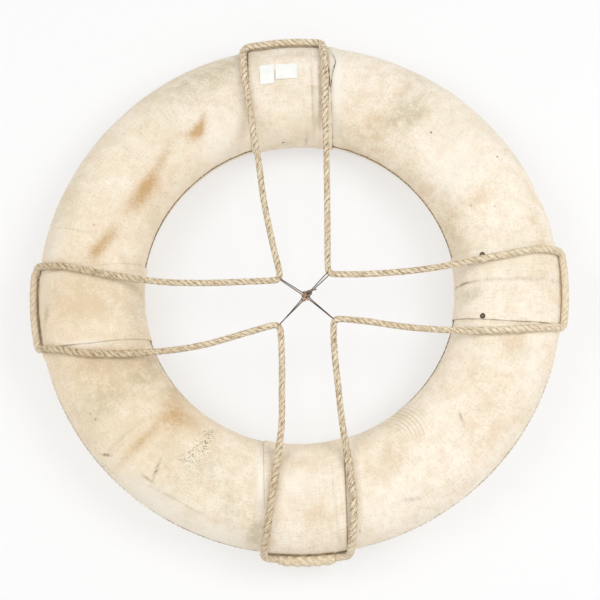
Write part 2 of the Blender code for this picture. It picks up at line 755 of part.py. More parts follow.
def build():
    """Build the whole life ring."""
    for obj in list(bpy.data.objects):
        bpy.data.objects.remove(obj)
    parts = new_collection("cork_life_ring")
    cutters = new_collection("cutters")
    root = bpy.data.objects.new("ring_axis", None)
    bpy.context.scene.collection.objects.link(root)

    cork = new_material("cork", (0.42, 0.26, 0.14), 0.85)
    wood = new_material("peg_wood", (0.50, 0.34, 0.19), 0.70)
    canvas = new_material("cover_canvas", (0.80, 0.71, 0.54), 0.85)
    webbing = new_material("band_canvas", (0.85, 0.76, 0.60), 0.85)
    thread = new_material("seam_thread", (0.40, 0.33, 0.24), 0.80)
    hemp = new_material("hemp_rope", (0.60, 0.46, 0.29), 0.80)
    rust = new_material("rusty_wire", (0.16, 0.12, 0.10), 0.60, 0.7)
    brass = new_material("dull_tack", (0.34, 0.27, 0.20), 0.50, 0.8)
    paper = new_material("label_paper", (0.86, 0.84, 0.78), 0.75)

    blocks = cork_core(parts, cutters, root, cork, wood)
    covers = {
        1: cover_half("cover_front", 1, parts, root, canvas),
        -1: cover_half("cover_back", -1, parts, root, canvas),
    }
    seam_thread("seam_thread_rim", RIM, parts, root, thread)
    seam_thread("seam_thread_hole", HOLE, parts, root, thread)
    bands = {band.name: (band, canvas_band(band, parts, root, webbing)) for band in BANDS}

    front_blocks = [block for name, (_, block) in blocks.items() if "front" in name]
    for name, (band_name, offset, side, turn) in TACKS.items():
        band, cloth = bands[band_name]
        seat, _ = band_seat(band, offset, side, turn)
        azimuth = math.degrees(math.atan2(seat.y, seat.x)) % 360.0
        block = front_blocks[int(azimuth // (360.0 / BLOCKS_PER_LAYER))]
        add_tack(name, band, parts, cutters, root, brass, (cloth, covers[1], block))
    for name in LABELS:
        paper_label(name, bands["top"][0], parts, root, paper)

    route, kinks = rope_route()
    first_end = rope_end(route[0], -1)
    last_end = rope_end(route[-1], 1)
    rope = [first_end, *thin(smooth(route), ROPE_SAG), last_end]
    add_object("grab_line", tube("grab_line", rope, ROPE_RADIUS, 2), parts, root, hemp)
    points, radii = splice_path(last_end, first_end)
    add_object(
        "grab_line_splice", tube("grab_line_splice", points, ROPE_RADIUS, 2, radii), parts, root, hemp)

    wires = {
        "tie_wire_1": tie_wire_route(kinks, ("left", "top"), ("right", "bottom"), WIRE_LEVEL),
        "tie_wire_2": tie_wire_route(kinks, ("top", "right"), ("bottom", "left"), -WIRE_LEVEL),
        "tie_binding": lashing_route(),
    }
    for name, wire in wires.items():
        add_object(name, tube(name, wire, WIRE_DIAMETER / 2, 1), parts, root, rust)
        print(f"{name}: least gap to itself {least_gap(wire, WIRE_DIAMETER) * 1000:.2f} mm")
    length = sum((second - first).length for first, second in zip(rope, rope[1:]))
    print(f"grab_line: {len(rope)} points, length {length:.3f} m")

    for cutter in cutters.objects:
        cutter.hide_render = True
        cutter.display_type = "WIRE"
    centre_on_origin(parts, root)


if __name__ == "__main__":
    build()
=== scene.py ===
"""Looks of a cork life ring: canvas cover and bands, laid grab line, tie wires, tacks and labels.

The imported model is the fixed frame. The ring lies on its back on a white floor with the grab
line's splice at -Y, and the camera looks down on it from a little towards -Y. Lengths are in
metres. A turn is an angle in degrees on one quarter of the ring's section: 0 is the rim or the
hole, 90 the front face and -90 the back face. An arc length is measured round the section,
from the middle of the hole's wall over the front face to the rim. An offset is a distance
across a band's width, positive clockwise as seen from the front. A lift is a height above
the cover's outer surface. A place in plan is seen from above and measured from the ring's
axis.
"""

import json
import logging
import math
from collections.abc import Mapping, Sequence
from dataclasses import dataclass, field
from enum import Enum

import bpy
import numpy as np
from mathutils import Matrix, Vector, noise
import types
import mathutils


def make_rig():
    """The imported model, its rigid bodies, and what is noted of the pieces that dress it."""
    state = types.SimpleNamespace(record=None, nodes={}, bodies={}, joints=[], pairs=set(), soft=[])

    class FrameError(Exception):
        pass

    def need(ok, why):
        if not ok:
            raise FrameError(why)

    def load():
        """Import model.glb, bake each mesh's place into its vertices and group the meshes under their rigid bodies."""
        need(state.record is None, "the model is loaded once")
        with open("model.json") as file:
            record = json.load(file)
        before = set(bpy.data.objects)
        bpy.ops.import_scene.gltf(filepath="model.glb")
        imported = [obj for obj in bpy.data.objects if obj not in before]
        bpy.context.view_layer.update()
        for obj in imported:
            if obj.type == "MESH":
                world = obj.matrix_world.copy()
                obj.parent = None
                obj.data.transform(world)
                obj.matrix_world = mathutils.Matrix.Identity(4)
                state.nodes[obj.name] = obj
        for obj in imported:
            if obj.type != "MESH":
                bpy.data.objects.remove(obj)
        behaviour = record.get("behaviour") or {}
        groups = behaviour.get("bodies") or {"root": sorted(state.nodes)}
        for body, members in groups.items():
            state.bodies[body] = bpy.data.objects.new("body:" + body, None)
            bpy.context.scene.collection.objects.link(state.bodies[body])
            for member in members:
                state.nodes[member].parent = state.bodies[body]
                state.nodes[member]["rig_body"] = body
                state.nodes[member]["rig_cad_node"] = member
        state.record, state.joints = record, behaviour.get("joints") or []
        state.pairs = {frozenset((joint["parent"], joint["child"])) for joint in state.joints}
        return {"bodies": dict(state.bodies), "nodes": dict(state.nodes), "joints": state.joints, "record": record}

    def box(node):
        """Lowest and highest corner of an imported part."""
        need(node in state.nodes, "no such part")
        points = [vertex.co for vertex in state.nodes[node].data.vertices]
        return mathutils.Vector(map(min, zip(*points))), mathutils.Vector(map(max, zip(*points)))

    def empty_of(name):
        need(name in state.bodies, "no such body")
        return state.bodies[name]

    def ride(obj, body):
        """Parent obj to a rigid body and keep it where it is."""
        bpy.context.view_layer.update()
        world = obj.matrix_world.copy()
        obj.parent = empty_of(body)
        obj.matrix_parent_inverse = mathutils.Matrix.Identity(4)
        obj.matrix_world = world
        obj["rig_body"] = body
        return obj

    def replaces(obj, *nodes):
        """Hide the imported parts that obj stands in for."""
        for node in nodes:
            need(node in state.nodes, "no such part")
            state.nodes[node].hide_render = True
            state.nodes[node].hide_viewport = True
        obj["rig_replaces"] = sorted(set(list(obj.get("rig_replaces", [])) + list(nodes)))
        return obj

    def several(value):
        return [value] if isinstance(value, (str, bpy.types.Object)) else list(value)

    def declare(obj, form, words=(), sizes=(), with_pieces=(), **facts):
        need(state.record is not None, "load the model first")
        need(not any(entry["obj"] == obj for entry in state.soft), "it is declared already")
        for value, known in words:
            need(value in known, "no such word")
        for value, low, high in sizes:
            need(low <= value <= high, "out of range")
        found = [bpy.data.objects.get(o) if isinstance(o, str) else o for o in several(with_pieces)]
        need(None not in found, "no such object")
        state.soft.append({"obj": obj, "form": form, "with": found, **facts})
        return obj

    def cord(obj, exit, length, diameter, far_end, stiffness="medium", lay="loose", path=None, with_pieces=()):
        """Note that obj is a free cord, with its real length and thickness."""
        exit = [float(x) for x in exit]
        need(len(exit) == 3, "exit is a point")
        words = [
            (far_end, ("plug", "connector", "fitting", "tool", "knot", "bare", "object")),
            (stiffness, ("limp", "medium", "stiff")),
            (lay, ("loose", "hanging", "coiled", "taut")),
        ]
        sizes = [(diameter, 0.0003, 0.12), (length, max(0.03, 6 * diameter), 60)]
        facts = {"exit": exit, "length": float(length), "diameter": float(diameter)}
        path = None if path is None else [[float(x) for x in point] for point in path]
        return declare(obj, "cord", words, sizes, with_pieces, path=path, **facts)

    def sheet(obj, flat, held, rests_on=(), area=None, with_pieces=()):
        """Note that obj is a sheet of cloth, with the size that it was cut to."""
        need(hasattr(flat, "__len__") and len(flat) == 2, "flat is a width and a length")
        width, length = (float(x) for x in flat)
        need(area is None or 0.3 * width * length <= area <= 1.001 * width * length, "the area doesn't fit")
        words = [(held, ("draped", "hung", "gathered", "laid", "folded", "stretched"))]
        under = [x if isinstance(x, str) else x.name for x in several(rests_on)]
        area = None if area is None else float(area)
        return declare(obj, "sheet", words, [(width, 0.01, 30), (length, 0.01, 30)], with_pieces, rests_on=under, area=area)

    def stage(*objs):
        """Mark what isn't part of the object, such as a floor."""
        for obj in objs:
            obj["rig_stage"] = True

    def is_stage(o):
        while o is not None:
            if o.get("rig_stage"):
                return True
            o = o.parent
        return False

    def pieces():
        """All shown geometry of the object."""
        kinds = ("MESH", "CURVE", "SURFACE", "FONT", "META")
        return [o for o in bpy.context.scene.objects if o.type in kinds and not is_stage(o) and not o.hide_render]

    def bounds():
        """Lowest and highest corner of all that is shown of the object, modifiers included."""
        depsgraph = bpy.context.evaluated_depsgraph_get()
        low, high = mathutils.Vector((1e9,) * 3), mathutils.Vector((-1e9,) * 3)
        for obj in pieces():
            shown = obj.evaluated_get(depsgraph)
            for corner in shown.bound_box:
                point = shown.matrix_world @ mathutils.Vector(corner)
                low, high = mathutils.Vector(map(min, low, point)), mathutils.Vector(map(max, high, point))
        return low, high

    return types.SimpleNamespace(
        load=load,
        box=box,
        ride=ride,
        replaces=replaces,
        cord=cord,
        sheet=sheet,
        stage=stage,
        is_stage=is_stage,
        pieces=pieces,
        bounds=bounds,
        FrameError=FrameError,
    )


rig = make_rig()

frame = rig.load()
CAD_BOX = [list(corner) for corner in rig.bounds()]

BODY = "root"
RIM = 1
HOLE = -1
SPECULAR = 0.35

log = logging.getLogger("life_ring")
logging.basicConfig(level=logging.INFO, format="%(message)s")

Array = np.ndarray
Material = bpy.types.Material
Piece = bpy.types.Object
Pair = tuple[float, float]
Triple = tuple[float, float, float]
Colour = Triple


def srgb(red: int, green: int, blue: int) -> Colour:
    """Turn a colour of 0 to 255 as seen on a screen into linear light."""
    return tuple(
        part / 12.92 if part <= 0.04045 else ((part + 0.055) / 1.055) ** 2.4
        for part in (red / 255, green / 255, blue / 255)
    )


@dataclass(frozen=True)
class Signal:
    """A shader socket that can stand in arithmetic.

    Attributes:
        graph: The graph that new nodes go into.
        socket: The output socket that carries the value.
    """

    graph: "Graph"
    socket: bpy.types.NodeSocket

    def _join(self, operation: str, *terms: "Signal | float") -> "Signal":
        """Add one Math node."""
        return self.graph.add("ShaderNodeMath", {"operation": operation}, dict(enumerate(terms)))

    def __add__(self, other: "Signal | float") -> "Signal":
        """Add another value."""
        return self._join("ADD", self, other)

    def __radd__(self, other: float) -> "Signal":
        """Add to a number."""
        return self._join("ADD", other, self)

    def __sub__(self, other: "Signal | float") -> "Signal":
        """Take another value away."""
        return self._join("SUBTRACT", self, other)

    def __rsub__(self, other: float) -> "Signal":
        """Take away from a number."""
        return self._join("SUBTRACT", other, self)

    def __mul__(self, other: "Signal | float") -> "Signal":
        """Multiply by another value."""
        return self._join("MULTIPLY", self, other)

    def __abs__(self) -> "Signal":
        """Drop the sign."""
        return self._join("ABSOLUTE", self)

    def sine(self) -> "Signal":
        """Sine of an angle in radians."""
        return self._join("SINE", self)

    def at_most(self, other: "Signal | float") -> "Signal":
        """The smaller of two values."""
        return self._join("MINIMUM", self, other)

    def at_least(self, other: "Signal | float") -> "Signal":
        """The larger of two values."""
        return self._join("MAXIMUM", self, other)

    def rise(self, low: float, high: float) -> "Signal":
        """Go smoothly from 0 at low to 1 at high, which may be below low."""
        return self.graph.add(
            "ShaderNodeMapRange", {"interpolation_type": "SMOOTHSTEP"}, {0: self, 1: low, 2: high})


def opaque(colour: "Signal | Colour") -> "Signal | tuple[float, float, float, float]":
    """Give a plain colour its alpha, and leave a signal as it is."""
    return colour if isinstance(colour, Signal) else (*colour, 1.0)


class Graph:
    """The node tree of a material or of the world."""

    def __init__(self, owner: Material | bpy.types.World) -> None:
        """Start an empty node tree.

        Args:
            owner: What the nodes belong to.
        """
        self.owner = owner
        owner.use_nodes = True
        self.tree = owner.node_tree
        self.tree.nodes.clear()

    def add(
        self,
        kind: str,
        settings: Mapping[str, object] | None = None,
        inputs: Mapping[int | str, object] | None = None,
        output: int | str = 0,
    ) -> Signal:
        """Add any node.

        Args:
            kind: Type of the node.
            settings: Properties that are set before the sockets, a ramp's stops among them.
            inputs: Values or signals of its sockets, by number or name.
            output: Socket that is handed back.

        Returns:
            The chosen output socket.
        """
        node = self.tree.nodes.new(kind)
        for name, value in (settings or {}).items():
            setattr(node, name, value)
        for name, value in (inputs or {}).items():
            if isinstance(value, Signal):
                self.tree.links.new(value.socket, node.inputs[name])
            else:
                node.inputs[name].default_value = value
        return Signal(self, node.outputs[output] if node.outputs else None)

    def stored(self, name: str, vector: bool = False) -> Signal:
        """Number or vector that the mesh stores at its points under a name."""
        return self.add(
            "ShaderNodeAttribute", {"attribute_name": name}, output="Vector" if vector else "Fac")

    def stretch(self, vector: Signal, factors: Sequence[float]) -> Signal:
        """Multiply a vector part by part."""
        return self.add(
            "ShaderNodeVectorMath", {"operation": "MULTIPLY"}, {0: vector, 1: factors})

    def along(self, vector: Signal, direction: Sequence[float], start: float = 0.0) -> Signal:
        """Distance of a place along a direction, less a start."""
        dot = self.add(
            "ShaderNodeVectorMath", {"operation": "DOT_PRODUCT"}, {0: vector, 1: direction},
            "Value")
        return dot - start

    def cloud(
        self, vector: Signal, scale: float, detail: float = 3.0, rough: float = 0.55
    ) -> Signal:
        """Noise from 0 to 1, with scale features to a metre or to a unit of the vector."""
        return self.add(
            "ShaderNodeTexNoise", None,
            {"Vector": vector, "Scale": scale, "Detail": detail, "Roughness": rough})

    def away(self, vector: Signal, x: float, y: float) -> Signal:
        """Distance in plan from a spot on the ring that is given in millimetres."""
        ends = {
            0: self.stretch(vector, (1.0, 1.0, 0.0)),
            1: (RING.centre[0] + x / 1000, RING.centre[1] + y / 1000, 0.0),
        }
        return self.add("ShaderNodeVectorMath", {"operation": "DISTANCE"}, ends, "Value")

    def paint(self, colour: Signal | Colour, *coats: tuple[Signal, Colour]) -> Signal:
        """Lay coats over a colour, each with its share from 0 to 1 and its own colour."""
        for share, coat in coats:
            pair = {6: opaque(colour), 7: opaque(coat)}
            colour = self.add("ShaderNodeMix", {"data_type": "RGBA"}, {0: share, **pair}, 2)
        return colour

    def bump(self, height: Signal, depth: float, strength: float = 1.0) -> Signal:
        """Relief from a height of about 0 to 1, where 1 stands for a depth in metres."""
        return self.add(
            "ShaderNodeBump", None, {"Height": height, "Distance": depth, "Strength": strength})

    def finish(
        self, colour: Signal | Colour, roughness: Signal, normal: Signal,
        metallic: Signal | float = 0.0, sheen: float = 0.0,
    ) -> Material:
        """Close the graph with a Principled shader.

        Args:
            colour: Base colour.
            roughness: Roughness.
            normal: Bent normal.
            metallic: Share of metal.
            sheen: Weight of the cloth's sheen.

        Returns:
            The material.
        """
        inputs = {
            "Base Color": opaque(colour),
            "Roughness": roughness,
            "Metallic": metallic,
            "Sheen Weight": sheen,
            "Specular IOR Level": SPECULAR,
            "Normal": normal,
        }
        shader = self.add("ShaderNodeBsdfPrincipled", None, inputs)
        self.add("ShaderNodeOutputMaterial", None, {"Surface": shader})
        return self.owner


class SoilAndShade(Enum):
    """Kinds of mark on the canvas, each stored under its own name at a mesh's points: stains and dirt, and in the dark
    lines and grey marks also painted shade.
    """

    BROWN = "soil_brown"
    TAN = "soil_tan"
    LINE = "soil_and_fold_shade_line"
    RIPPLE = "soil_ripple"
    GREY = "soil_and_rim_shade_grey"
    SPECKS = "soil_specks"
    PALE = "soil_pale"


@dataclass(frozen=True)
class Mark:
    """A mark on the front of the ring, as a soft ellipse in plan.

    Attributes:
        kind: What the mark is.
        at: Its middle in plan, in millimetres.
        size: Its half length and half width in millimetres.
        turned: Direction of its length in degrees.
        strength: Its strength in the middle.
    """

    kind: SoilAndShade
    at: Pair
    size: Pair
    turned: float = 0.0
    strength: float = 1.0

    def shade(self, plan: Array) -> Array:
        """Strength of the mark at places in plan.

        Args:
            plan: Places in plan, in metres, two columns.

        Returns:
            One value for each place.
        """
        away = plan * 1000 - np.array(self.at)
        turned = math.radians(self.turned)
        length = away @ np.array((math.cos(turned), math.sin(turned))) / self.size[0]
        width = away @ np.array((-math.sin(turned), math.cos(turned))) / self.size[1]
        return self.strength * np.exp(-(length**2 + width**2))


MARK_ROWS = {
    SoilAndShade.BROWN: (
        (-149, 231, 18, 10, 70, 1.15), (-158, 225, 15, 8, 18, 0.85), (-142, 245, 14, 5, 80, 0.8),
        (-224, 139, 26, 13, 60, 1.2), (-205, 178, 38, 7, 62, 0.8), (-240, 120, 24, 10, 50, 0.6),
        (-213, 108, 18, 5, 66, 0.3), (-290, 48, 18, 10, 56, 1.35), (-271, 71, 19, 10, 50, 1.05),
        (-170, -192, 26, 15, 60, 0.9), (-180, -166, 26, 11, 75, 0.5),
        (-155, -200, 24, 12, -30, 0.5), (-215, -226, 44, 6, 46, 0.9),
    ),
    SoilAndShade.TAN: (
        (-240, -140, 36, 30, 20, 0.8), (352, 10, 20, 44, 0, 0.6), (266, -195, 56, 40, 50, 0.6),
        (-311, -25, 42, 32, 10, 1.4), (-268, -30, 30, 24, -30, 0.4), (-200, 165, 40, 30, 62, 0.35),
        (-262, -112, 70, 30, 10, 0.8), (-276, -136, 40, 24, 10, 0.8),
        (-185, -200, 50, 36, 40, 0.4), (110, 238, 60, 50, 60, 0.7), (180, 145, 60, 14, -58, 0.6),
        (222, 84, 36, 16, -70, 0.55), (252, 118, 34, 15, 30, 0.6), (340, 84, 34, 10, -75, 0.6),
        (300, -92, 20, 15, 10, 1.2), (245, -143, 26, 14, 20, 0.35), (128, -245, 44, 24, 35, 0.6),
        (350, -150, 70, 12, 70, 0.6), (30, -335, 40, 26, 85, 0.6), (0, -258, 50, 12, 0, 0.5),
        (-308, -38, 20, 13, 30, 0.5),
    ),
    # Grey marks are dirt; the long thin ones along the left rim, which faces away from the light, are dirt and painted
    # shade.
    SoilAndShade.GREY: (
        (-145, 310, 70, 26, 26, 0.85), (-262, -118, 60, 16, 8, 0.6), (-221, -138, 34, 16, 40, 0.9),
        (-280, -174, 32, 26, 30, 0.8), (-168, -146, 30, 14, 45, 0.7),
        (-140, -272, 60, 26, 22, 0.55), (-90, -322, 22, 34, 10, 0.6),
        (-332, -214, 90, 12, -54, 0.9), (-235, -318, 60, 9, -38, 0.6),
        (-245, 305, 110, 18, 40, 0.5), (-338, 120, 80, 16, 68, 0.5), (-110, 330, 60, 20, 20, 0.35),
        (166, 256, 26, 18, 50, 1.0), (140, 244, 30, 16, 10, 0.6), (160, 285, 40, 16, 60, 0.4),
        (196, 290, 30, 14, 50, 0.3), (215, 60, 40, 14, 84, 0.45), (117, -205, 44, 12, 30, 0.45),
        (249, -18, 15, 10, 20, 0.8), (-232, -40, 14, 50, 0, 0.5), (-362, -48, 18, 4, 86, 1.0),
        (6, 352, 60, 7, 0, 0.45), (-62, -358, 34, 9, 80, 1.1), (-33, -242, 22, 12, 0, 0.4),
    ),
    # Dark lines: dirt lines, and painted shade along the folds and creases of the top, right and bottom bands.
    SoilAndShade.LINE: (
        (-270, -246, 7, 1.7, -14, 1.5), (-197, -270, 15, 1.6, 70, 1.4),
        (-209, -281, 8, 1.5, -35, 1.0), (-250, -228, 26, 1.7, 42, 0.45),
        (-160, -315, 46, 1.7, -28, 0.4), (226, -198, 6.5, 1.7, -70, 1.4),
        (157, -310, 10, 2.6, 10, 0.8), (-325, 80, 28, 1.7, -12, 0.25), (237, 0, 11, 1.5, 4, 1.4),
        (272, 1, 36, 1.4, 1, 0.4), (330, 2, 50, 3.0, 1, 0.35), (9, 225, 5, 2.0, 60, 1.3),
        (20, 290, 48, 1.7, 92, 0.6), (31, 278, 54, 1.5, 91, 0.5), (52, -330, 60, 1.5, 96, 0.35),
    ),
    SoilAndShade.RIPPLE: ((152, -198, 34, 26, 130, 1.2),),
    SoilAndShade.SPECKS: ((-139, -240, 33, 13, 52, 1.3), (-285, -250, 90, 12, -48, 0.5)),
    SoilAndShade.PALE: (
        (-205, -308, 70, 22, -34, 0.7), (-355, 60, 40, 14, 80, 0.5), (-296, -90, 34, 5, 2, 1.1),
        (51, 338, 30, 5, 86, 1.3), (57, 296, 7, 60, 0, 1.1), (235, 180, 50, 40, 40, 0.5),
        (10, -290, 50, 40, 0, 0.3), (-52, -290, 5, 60, 0, 0.9), (300, 40, 50, 12, 5, 0.5),
        (-114, 208, 40, 24, 60, 0.55), (-104, -360, 40, 18, -15, 0.6),
        (118, -320, 44, 22, 15, 0.35), (328, -118, 14, 34, 0, 0.4),
    ),
}
MARKS = tuple(
    Mark(kind, (x, y), (length, width), turned, strength)
    for kind, rows in MARK_ROWS.items() for x, y, length, width, turned, strength in rows)

RIPPLE_CENTRE = (118, -234)
SPOTS = (
    (194, 225, 0.8), (290, 188, 0.6), (249, 112, 0.4), (283, 111, 0.3), (-257, 227, 0.25),
    (-232, 235, 0.2), (84, -352, 0.3), (-284, -198, 0.5), (-292, -190, 0.3), (-296, 86, 0.35),
    (-272, -245.5, 0.5), (-267, -246.5, 0.5))


@dataclass(frozen=True)
class Crease:
    """A fold in the cloth on the front of the ring, along a line in plan.

    Attributes:
        line: Points of it in plan, in millimetres.
        width: How far the fold spreads to each side, in millimetres.
        height: Height of the fold in millimetres, negative for a furrow.
    """

    line: tuple[Pair, ...]
    width: float
    height: float

    def raise_by(self, plan: Array) -> Array:
        """Height of the fold at places in plan.

        Args:
            plan: Places in plan, in metres, two columns.

        Returns:
            Heights in metres.
        """
        nearest = np.full(len(plan), np.inf)
        for start, end in zip(self.line, self.line[1:]):
            start, way = np.array(start), np.subtract(end, start)
            away = plan * 1000 - start
            share = np.clip(away @ way / (way @ way), 0.0, 1.0)
            nearest = np.minimum(nearest, np.linalg.norm(away - share[:, None] * way, axis=1))
        return self.height / 1000 * np.exp(-((nearest / self.width) ** 2))


@dataclass(frozen=True)
class RingShape:
    """The ring's section and the way its pieces are placed on it.

    Attributes:
        outer_diameter: Outside of the ring.
        inner_diameter: Its hole.
        thickness: From the front face to the back face.
        face_flat: Width of the flat on each face.
        band_lift: Outer face of a band over the cover.
        fade: Arc length on the back over which the front's marks end.
        centre: The ring's axis in the frame.
    """

    outer_diameter: float = 0.762
    inner_diameter: float = 0.457
    thickness: float = 0.102
    face_flat: float = 0.040
    band_lift: float = 0.0021
    fade: float = 0.08
    centre: Pair = (0.0, 0.0)

    @property
    def middle(self) -> float:
        """Radius of the circle through the middle of the section."""
        return (self.outer_diameter + self.inner_diameter) / 4

    @property
    def half_width(self) -> float:
        """Half the width of the section."""
        return (self.outer_diameter - self.inner_diameter) / 4

    @property
    def middle_height(self) -> float:
        """Height of the section's middle over the floor."""
        return self.band_lift + self.thickness / 2

    def quarter_lengths(self) -> tuple[Array, Array]:
        """Arc lengths over one quarter of the section, on the cover's surface.

        Returns:
            Turns from 0 to 90, and the arc length to each.
        """
        turns = np.linspace(0.0, 90.0, 91)
        across = (self.half_width - self.face_flat / 2) * np.cos(np.radians(turns))
        up = self.thickness / 2 * np.sin(np.radians(turns))
        steps = np.hypot(np.diff(across), np.diff(up))
        return turns, np.concatenate([[0.0], np.cumsum(steps)])

    @property
    def quarter(self) -> float:
        """Arc length of one quarter of the section, without the flat."""
        return float(self.quarter_lengths()[1][-1])

    @property
    def perimeter(self) -> float:
        """Length right round the section."""
        return 4 * self.quarter + 2 * self.face_flat

    def section(self, side: int, turn: float, lift: float = 0.0) -> Pair:
        """A point on one quarter of the section.

        Args:
            side: RIM or HOLE.
            turn: Its turn.
            lift: Its lift.

        Returns:
            Its distance from the ring's axis, and its height.
        """
        half_flat = self.face_flat / 2
        reach = self.half_width - half_flat + lift
        rise = self.thickness / 2 + lift
        angle = math.radians(turn)
        return (
            self.middle + side * (half_flat + reach * math.cos(angle)),
            self.middle_height + rise * math.sin(angle),
        )

    def around(self, lengths: Array, lifts: Array) -> tuple[Array, Array]:
        """Points right round the section.

        Args:
            lengths: Arc lengths.
            lifts: Heights over the cover's surface.

        Returns:
            Distances from the axis, and heights.
        """
        turns, arcs = self.quarter_lengths()
        quarter, flat = self.quarter, self.face_flat
        s = np.mod(lengths, self.perimeter)
        back = s > self.perimeter / 2
        folded = np.where(back, self.perimeter - s, s)
        side = np.where(folded < quarter + flat / 2, HOLE, RIM)
        inward = np.where(side == HOLE, folded, 2 * quarter + flat - folded)
        turn = np.radians(np.interp(np.minimum(inward, quarter), arcs, turns))
        on_flat = np.maximum(inward - quarter, 0.0)
        reach = self.half_width - flat / 2 + lifts
        radius = self.middle + side * (flat / 2 - on_flat + reach * np.cos(turn))
        face = np.where(back, -1.0, 1.0)
        return radius, self.middle_height + face * (self.thickness / 2 + lifts) * np.sin(turn)

    def place(self, axis: float, offset: float, radius: float, height: float) -> Vector:
        """One point, as spread gives many."""
        return Vector(self.spread(axis, offset, radius, height))

    def spread(
        self, axis: float | Array, offset: float | Array, radius: float | Array,
        height: float | Array,
    ) -> Array:
        """Points at distances from the ring's axis and beside directions seen from above.

        Args:
            axis: The direction in degrees.
            offset: Distance beside it, positive clockwise.
            radius: Distance from the ring's axis.
            height: Height over the floor.

        Returns:
            The points, in the grid in which the values are given.
        """
        angle = np.radians(axis)
        along = np.sqrt(radius**2 - offset**2)
        return np.stack([
            self.centre[0] + np.cos(angle) * along + np.sin(angle) * offset,
            self.centre[1] + np.sin(angle) * along - np.cos(angle) * offset,
            height,
        ], axis=-1)

    def plan(self, points: Array) -> Array:
        """Places from the ring's axis, seen from above."""
        return points.reshape(-1, 3)[:, :2] - np.array(self.centre)

    def front_height(self, radius: float, lift: float) -> float:
        """Height of the front of the ring.

        Args:
            radius: Distance from the ring's axis.
            lift: Lift over the cover's surface.

        Returns:
            Height over the floor.
        """
        side = RIM if radius > self.middle else HOLE
        beyond = side * (radius - self.middle) - self.face_flat / 2
        share = min(1.0, max(0.0, beyond / (self.half_width - self.face_flat / 2 + lift)))
        return self.middle_height + (self.thickness / 2 + lift) * math.sqrt(1 - share**2)

    def over_front(self, lengths: Array, values: Triple) -> Array:
        """Values that change smoothly over the front of the ring and fade out on its back.

        Args:
            lengths: Arc lengths.
            values: Values at the rim, on the face and in the hole.

        Returns:
            One value for each length.
        """
        rim, face, hole = values
        half = self.perimeter / 2
        s = np.mod(lengths + half / 2, self.perimeter) - half / 2
        u = np.clip(s / half, 0.0, 1.0)
        front = hole * (1 - u) * (1 - 2 * u) + face * 4 * u * (1 - u) + rim * u * (2 * u - 1)
        return front * np.clip(1 - np.maximum(-s, s - half) / self.fade, 0.0, 1.0)

    @staticmethod
    def clockwise(axis: float) -> Vector:
        """Unit vector along increasing offset."""
        angle = math.radians(axis)
        return Vector((math.sin(angle), -math.cos(angle), 0.0))

    def offset(self, axis: float, point: Vector) -> float:
        """Offset of a point beside a direction seen from above."""
        return (point - Vector((*self.centre, 0.0))).dot(self.clockwise(axis))


def uneven(points: Array, *layers: Triple) -> Array:
    """Smooth noise at many points.

    Args:
        points: Points in metres, in any grid.
        layers: For each layer its height, the size of one feature, and a shift.

    Returns:
        One value for each point, in a flat row.
    """
    flat = points.reshape(-1, 3)
    total = np.zeros(len(flat))
    for height, size, shift in layers:
        total += height * np.array([noise.noise(Vector(point)) for point in flat / size + shift])
    return total


@dataclass
class Patch:
    """A grid of points that becomes a mesh.

    Attributes:
        name: Name of the object.
        points: Grid of rows, columns and three parts.
        closed_rows: Whether the last row joins the first.
        closed_columns: Whether the last column joins the first.
        values: Numbers or vectors that are stored at the points, by name.
        flip: Whether the faces are turned over.
    """

    name: str
    points: Array
    closed_rows: bool = False
    closed_columns: bool = False
    values: dict[str, Array] = field(default_factory=dict)
    flip: bool = False

    def faces(self) -> Array:
        """Faces of the grid.

        Returns:
            Four corner numbers for each face.
        """
        rows, columns = self.points.shape[:2]
        i = np.arange(rows if self.closed_rows else rows - 1)[:, None]
        j = np.arange(columns if self.closed_columns else columns - 1)[None, :]
        row, next_row = i * columns, (i + 1) % rows * columns
        next_j = (j + 1) % columns
        corners = [row + j, row + next_j, next_row + next_j, next_row + j]
        return np.stack(corners[::-1] if self.flip else corners, axis=-1).reshape(-1, 4)

    def build(self, material: Material, node: str | None = None) -> Piece:
        """Make the grid into a piece of the ring, which may stand for a CAD node."""
        return add_piece(self.name, self.points, self.faces(), material, self.values, node)


def add_piece(
    name: str, points: Array, faces: Array, material: Material,
    values: Mapping[str, Array] | None = None, node: str | None = None,
) -> Piece:
    """Put a smooth mesh in the scene as a piece that rides on the ring.

    Args:
        name: Name of the piece.
        points: Its points, in any grid.
        faces: Corner numbers of its faces.
        material: Its material.
        values: Numbers or vectors that are stored at its points, by name.
        node: The CAD node that it stands for, if any.

    Returns:
        The piece.
    """
    mesh = bpy.data.meshes.new(name)
    mesh.from_pydata(points.reshape(-1, 3).tolist(), [], faces.tolist())
    for key, value in (values or {}).items():
        kind, part = ("FLOAT_VECTOR", "vector") if value.ndim > 1 else ("FLOAT", "value")
        mesh.attributes.new(key, kind, "POINT").data.foreach_set(part, value.astype("f").ravel())
    mesh.shade_smooth()
    mesh.materials.append(material)
    piece = bpy.data.objects.new(name, mesh)
    bpy.context.scene.collection.objects.link(piece)
    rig.ride(piece, BODY)
    if node:
        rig.replaces(piece, node)
    log.info("%s: %d points", name, len(mesh.vertices))
    return piece


@dataclass(frozen=True)
class Finish:
    """A finish that is worked out over a piece.

    Attributes:
        name: Name of its material.
    """

    name: str

    def start(self) -> tuple[Graph, Signal]:
        """Start the material's graph with the place on the object, in metres."""
        graph = Graph(bpy.data.materials.new(self.name))
        return graph, graph.add("ShaderNodeTexCoord", output="Object")


